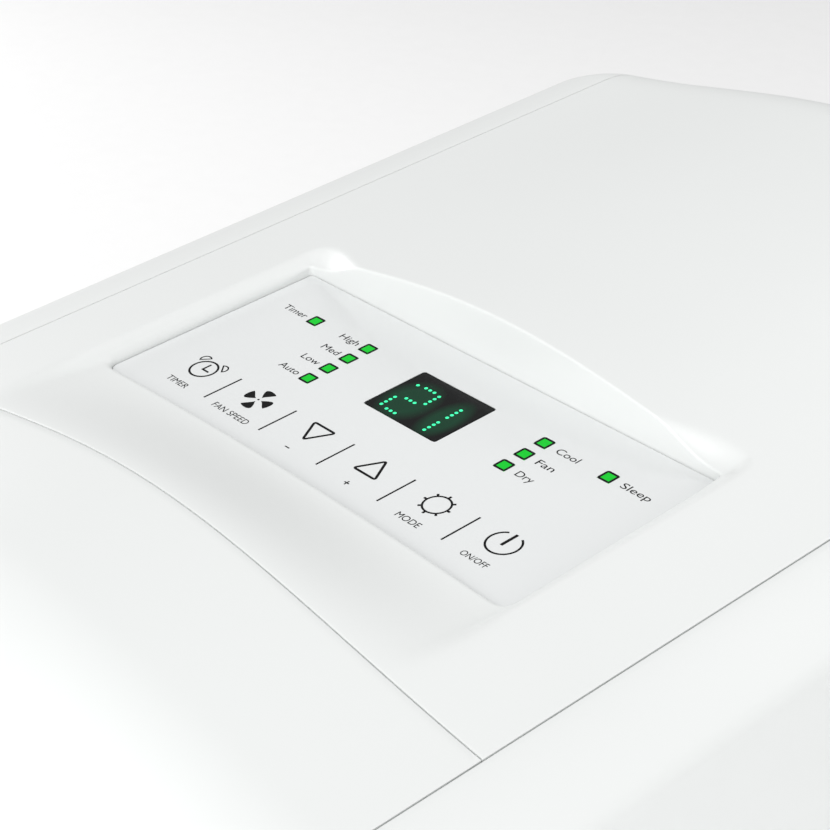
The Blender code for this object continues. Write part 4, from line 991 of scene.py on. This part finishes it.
def halo(x, half_width):
    """Share of painted glow round one digit: 1 in its middle, 0 on an ellipse in the window's
    plane.
    """
    spot = on_panel(np.array(x * KEY), np.array(1.52 * KEY), 0.0)
    flat = add(smoked, "ShaderNodeMapping", {"vector_type": "TEXTURE"}, Vector=spots,
               Location=tuple(spot), Rotation=(TILT, 0, 0),
               Scale=(half_width * KEY, 0.46 * KEY, 0.3 * KEY))
    return add(smoked, "ShaderNodeTexGradient", {"gradient_type": "SPHERICAL"},
               Vector=flat.outputs["Vector"]).outputs["Fac"]


both = add(smoked, "ShaderNodeMath", {"operation": "MAXIMUM"}, _0=halo(-0.24, 0.36),
           _1=halo(0.33, 0.24))
edge = add(smoked, "ShaderNodeMapRange", Value=both.outputs["Value"], From_Max=0.45)
# Painted glow: the light of the dots is drawn as green emission on the window round the digits.
painted_digit_glow = add(smoked, "ShaderNodeMix", {"data_type": "RGBA"}, _0=edge.outputs["Result"],
           _6=linear("#000000"), _7=linear("#053A24"))
link(smoked, painted_digit_glow.outputs[2], shader, "Emission Color")
shader.inputs["Emission Strength"].default_value = 1.0
print("smoked window ready")

# %% [markdown]
# ## Metals
#
# Inside are a painted steel compressor, motor cans of drawn steel, finned aluminium coils and a
# copper pipe. A metal is fully metallic and its look is mostly roughness: brushed steel gets fine
# streaks, the coils get light and dark lines of their fins at about 2 mm, the dark in part painted
# shade in the gaps between fins, and copper gets dull patches.


# %% Metals
def metal(name, light, dark, roughness, stretch, size):
    """A metal whose colour and roughness follow a noise that is stretched along some axes."""
    made, shader = finish(name)
    spots = add(made, "ShaderNodeTexCoord").outputs["Object"]
    drawn = add(made, "ShaderNodeMapping", Vector=spots, Scale=stretch)
    streaks = add(made, "ShaderNodeTexNoise", Vector=drawn.outputs["Vector"], Scale=1 / size,
                  Detail=3.0)
    colour = add(made, "ShaderNodeMix", {"data_type": "RGBA"}, _0=streaks.outputs["Fac"],
                 _6=linear(light), _7=linear(dark))
    rough = add(made, "ShaderNodeMapRange", Value=streaks.outputs["Fac"], To_Min=roughness - 0.08,
                To_Max=roughness + 0.08)
    shader.inputs["Metallic"].default_value = 1.0
    link(made, colour.outputs[2], shader, "Base Color")
    link(made, rough.outputs["Result"], shader, "Roughness")
    return made


steel = metal("steel drawn, bright", "#B9BBBD", "#A4A6A8", 0.32, (1, 1, 6), 8 * MM)
copper = metal("copper drawn", "#C77D55", "#A9643F", 0.34, (1, 1, 1), 20 * MM)
# The coils' dark lines are in part painted shade in the gaps between the fins.
aluminium = metal("aluminium fins, mill finish, painted gap shade", "#C6C8C9", "#6F7173", 0.45, (1, 0.05, 0.05),
                  2 * MM)
painted = moulded_plastic("steel painted, black", "#151617", "#1C1D1E", 0.35)
print("metals ready")

# %% [markdown]
# ## Woven filter mesh
#
# A plain weave of black nylon threads. The real pitch is near 1 mm; the pattern is two sets of
# bands at right angles, one across x and one up z, with a light thread where either is high.

# %% Filter weave
THREAD_PITCH = 1.6 * MM
weave, shader = finish("nylon woven mesh, dark")
spots = add(weave, "ShaderNodeTexCoord").outputs["Object"]
across = add(weave, "ShaderNodeTexWave", {"bands_direction": "X"}, Vector=spots,
             Scale=math.pi / (10 * THREAD_PITCH))
upright = add(weave, "ShaderNodeTexWave", {"bands_direction": "Z"}, Vector=spots,
              Scale=math.pi / (10 * THREAD_PITCH))
thread = add(weave, "ShaderNodeMath", {"operation": "MAXIMUM"}, _0=across.outputs["Fac"],
             _1=upright.outputs["Fac"])
colour = add(weave, "ShaderNodeMix", {"data_type": "RGBA"}, _0=thread.outputs["Value"],
             _6=linear("#0E0F10"), _7=linear("#3C3E40"))
raised = add(weave, "ShaderNodeBump", Height=thread.outputs["Value"], Distance=0.15 * MM)
link(weave, colour.outputs[2], shader, "Base Color")
link(weave, raised.outputs["Normal"], shader, "Normal")
shader.inputs["Roughness"].default_value = 0.6
print("weave ready")

# %% [markdown]
# ## Which finish goes where
#
# The new pieces and the carried-over solids get the same finishes, so that neighbours match.

# %% Dress every piece
FINISHES = {
    abs_white: ["top_cover_shell", "front_cover_shell", "side_panel_left_shell",
                "side_panel_right_shell", "outlet_flap", "rear_cover"],
    abs_panel: ["control_panel"],
    abs_pale: ["outlet_duct", "grip_left", "grip_right", "grille_upper", "grille_lower",
               "exhaust_collar_tube", "cord_hook_upper", "cord_hook_lower", "drip_deck",
               "upper_blower", "lower_blower", "upper_scroll", "lower_scroll", "vane_1", "vane_2",
               "vane_3", "vane_4", "vane_5"],
    pp_grey: ["board_tray", "base_pan", "filter_upper", "filter_lower", "electrical_box"]
             + [f"caster_fork_{corner}" for corner in CORNERS],
    nylon_black: [f"wheel_{corner}" for corner in CORNERS],
    rubber_grey: ["upper_drain_plug", "lower_drain_plug"],
    rubber_black: ["cord_grommet"],
    ink_black: ["panel_legends"],
    board_green: ["control_board"],
    lamp_green: [f"light_guide_{name}" for name in LENS_X],
    dot_green: ["display_digits"],
    smoked: ["display_window"],
    steel: ["flap_motor", "vane_motor", "upper_motor", "lower_motor"]
           + [f"caster_axle_{corner}" for corner in CORNERS],
    copper: ["suction_pipe"],
    aluminium: ["evaporator_coil", "condenser_coil"],
    painted: ["compressor", "suction_bottle"],
    weave: ["filter_mesh_upper", "filter_mesh_lower"],
}
for material, names in FINISHES.items():
    for name in names:
        piece = bpy.data.objects[name]
        if not piece.data.materials:
            piece.data.materials.append(material)
        for holder in piece.material_slots:
            holder.material = material
print(sum(len(names) for names in FINISHES.values()), "pieces dressed")

# %% [markdown]
# # Studio
#
# A white room: a pale floor that runs out to the horizon, a dim even sky, and five large soft
# lights. The strongest two stand in front, one high and one low on the right, so the wall behind
# the panel catches the most light and the panel's front edge lies in the shade of its rim.

# %% Floor
bpy.ops.mesh.primitive_plane_add(size=30, location=(0, 0, 0))
floor = bpy.context.object
floor.name = "studio_floor"
paper, shader = finish("paper backdrop, white")
fibres = add(paper, "ShaderNodeTexNoise", Vector=add(paper, "ShaderNodeTexCoord").outputs["Object"],
             Scale=40.0)
sheet = add(paper, "ShaderNodeMix", {"data_type": "RGBA"}, _0=fibres.outputs["Fac"],
            _6=linear("#FDFDFD"), _7=linear("#FAFAFA"))
link(paper, sheet.outputs[2], shader, "Base Color")
shader.inputs["Roughness"].default_value = 0.9
floor.data.materials.append(paper)

# %% Sky and lights
world = bpy.data.worlds.new("studio")
bpy.context.scene.world = world
world.use_nodes = True
world.node_tree.nodes["Background"].inputs["Color"].default_value = (1, 1, 1, 1)
world.node_tree.nodes["Background"].inputs["Strength"].default_value = 0.55


LAMP_SIZE = 1.6
AIM = Vector((0, 0, 0.5))
LAMPS = {
    "front": ((0.0, -2.2, 2.6), 37), "front_right": ((1.8, -2.4, 1.1), 32),
    "right": ((3.0, 0.0, 1.1), 7), "left": ((-3.0, 0.0, 1.1), 22), "back": ((0.0, 2.2, 2.6), 20),
}


def soft_light(name, spot, power):
    """A square area light that looks at the middle of the machine."""
    lamp = bpy.data.lights.new(name, "AREA")
    lamp.size = LAMP_SIZE
    lamp.energy = power
    holder = bpy.data.objects.new(name, lamp)
    bpy.context.scene.collection.objects.link(holder)
    holder.location = spot
    holder.rotation_euler = (AIM - Vector(spot)).to_track_quat("-Z", "Y").to_euler()


for name, (spot, power) in LAMPS.items():
    soft_light(name, spot, power)
print(len(LAMPS), "lamps in the studio")

# %% [markdown]
# ## Camera
#
# A long lens from the front right and above, close on the panel: almost 50 degrees round from
# the front, 28 degrees down, as someone would lean over the machine to read it.

# %% Camera
camera_data = bpy.data.cameras.new("panel_view")
camera_data.lens = 97.77
camera_data.sensor_width = 36
camera_data.clip_end = 60
camera = bpy.data.objects.new("panel_view", camera_data)
bpy.context.scene.collection.objects.link(camera)
camera.location = PANEL_ORIGIN + Vector((16.343, -12.723, 11.781)) * KEY
gaze = Vector((-0.66582, 0.57478, -0.47572))
camera.rotation_euler = gaze.to_track_quat("-Z", "Y").to_euler()
bpy.context.scene.camera = camera
bpy.context.scene.view_settings.view_transform = "Standard"
print("camera", [round(value, 3) for value in camera.location])
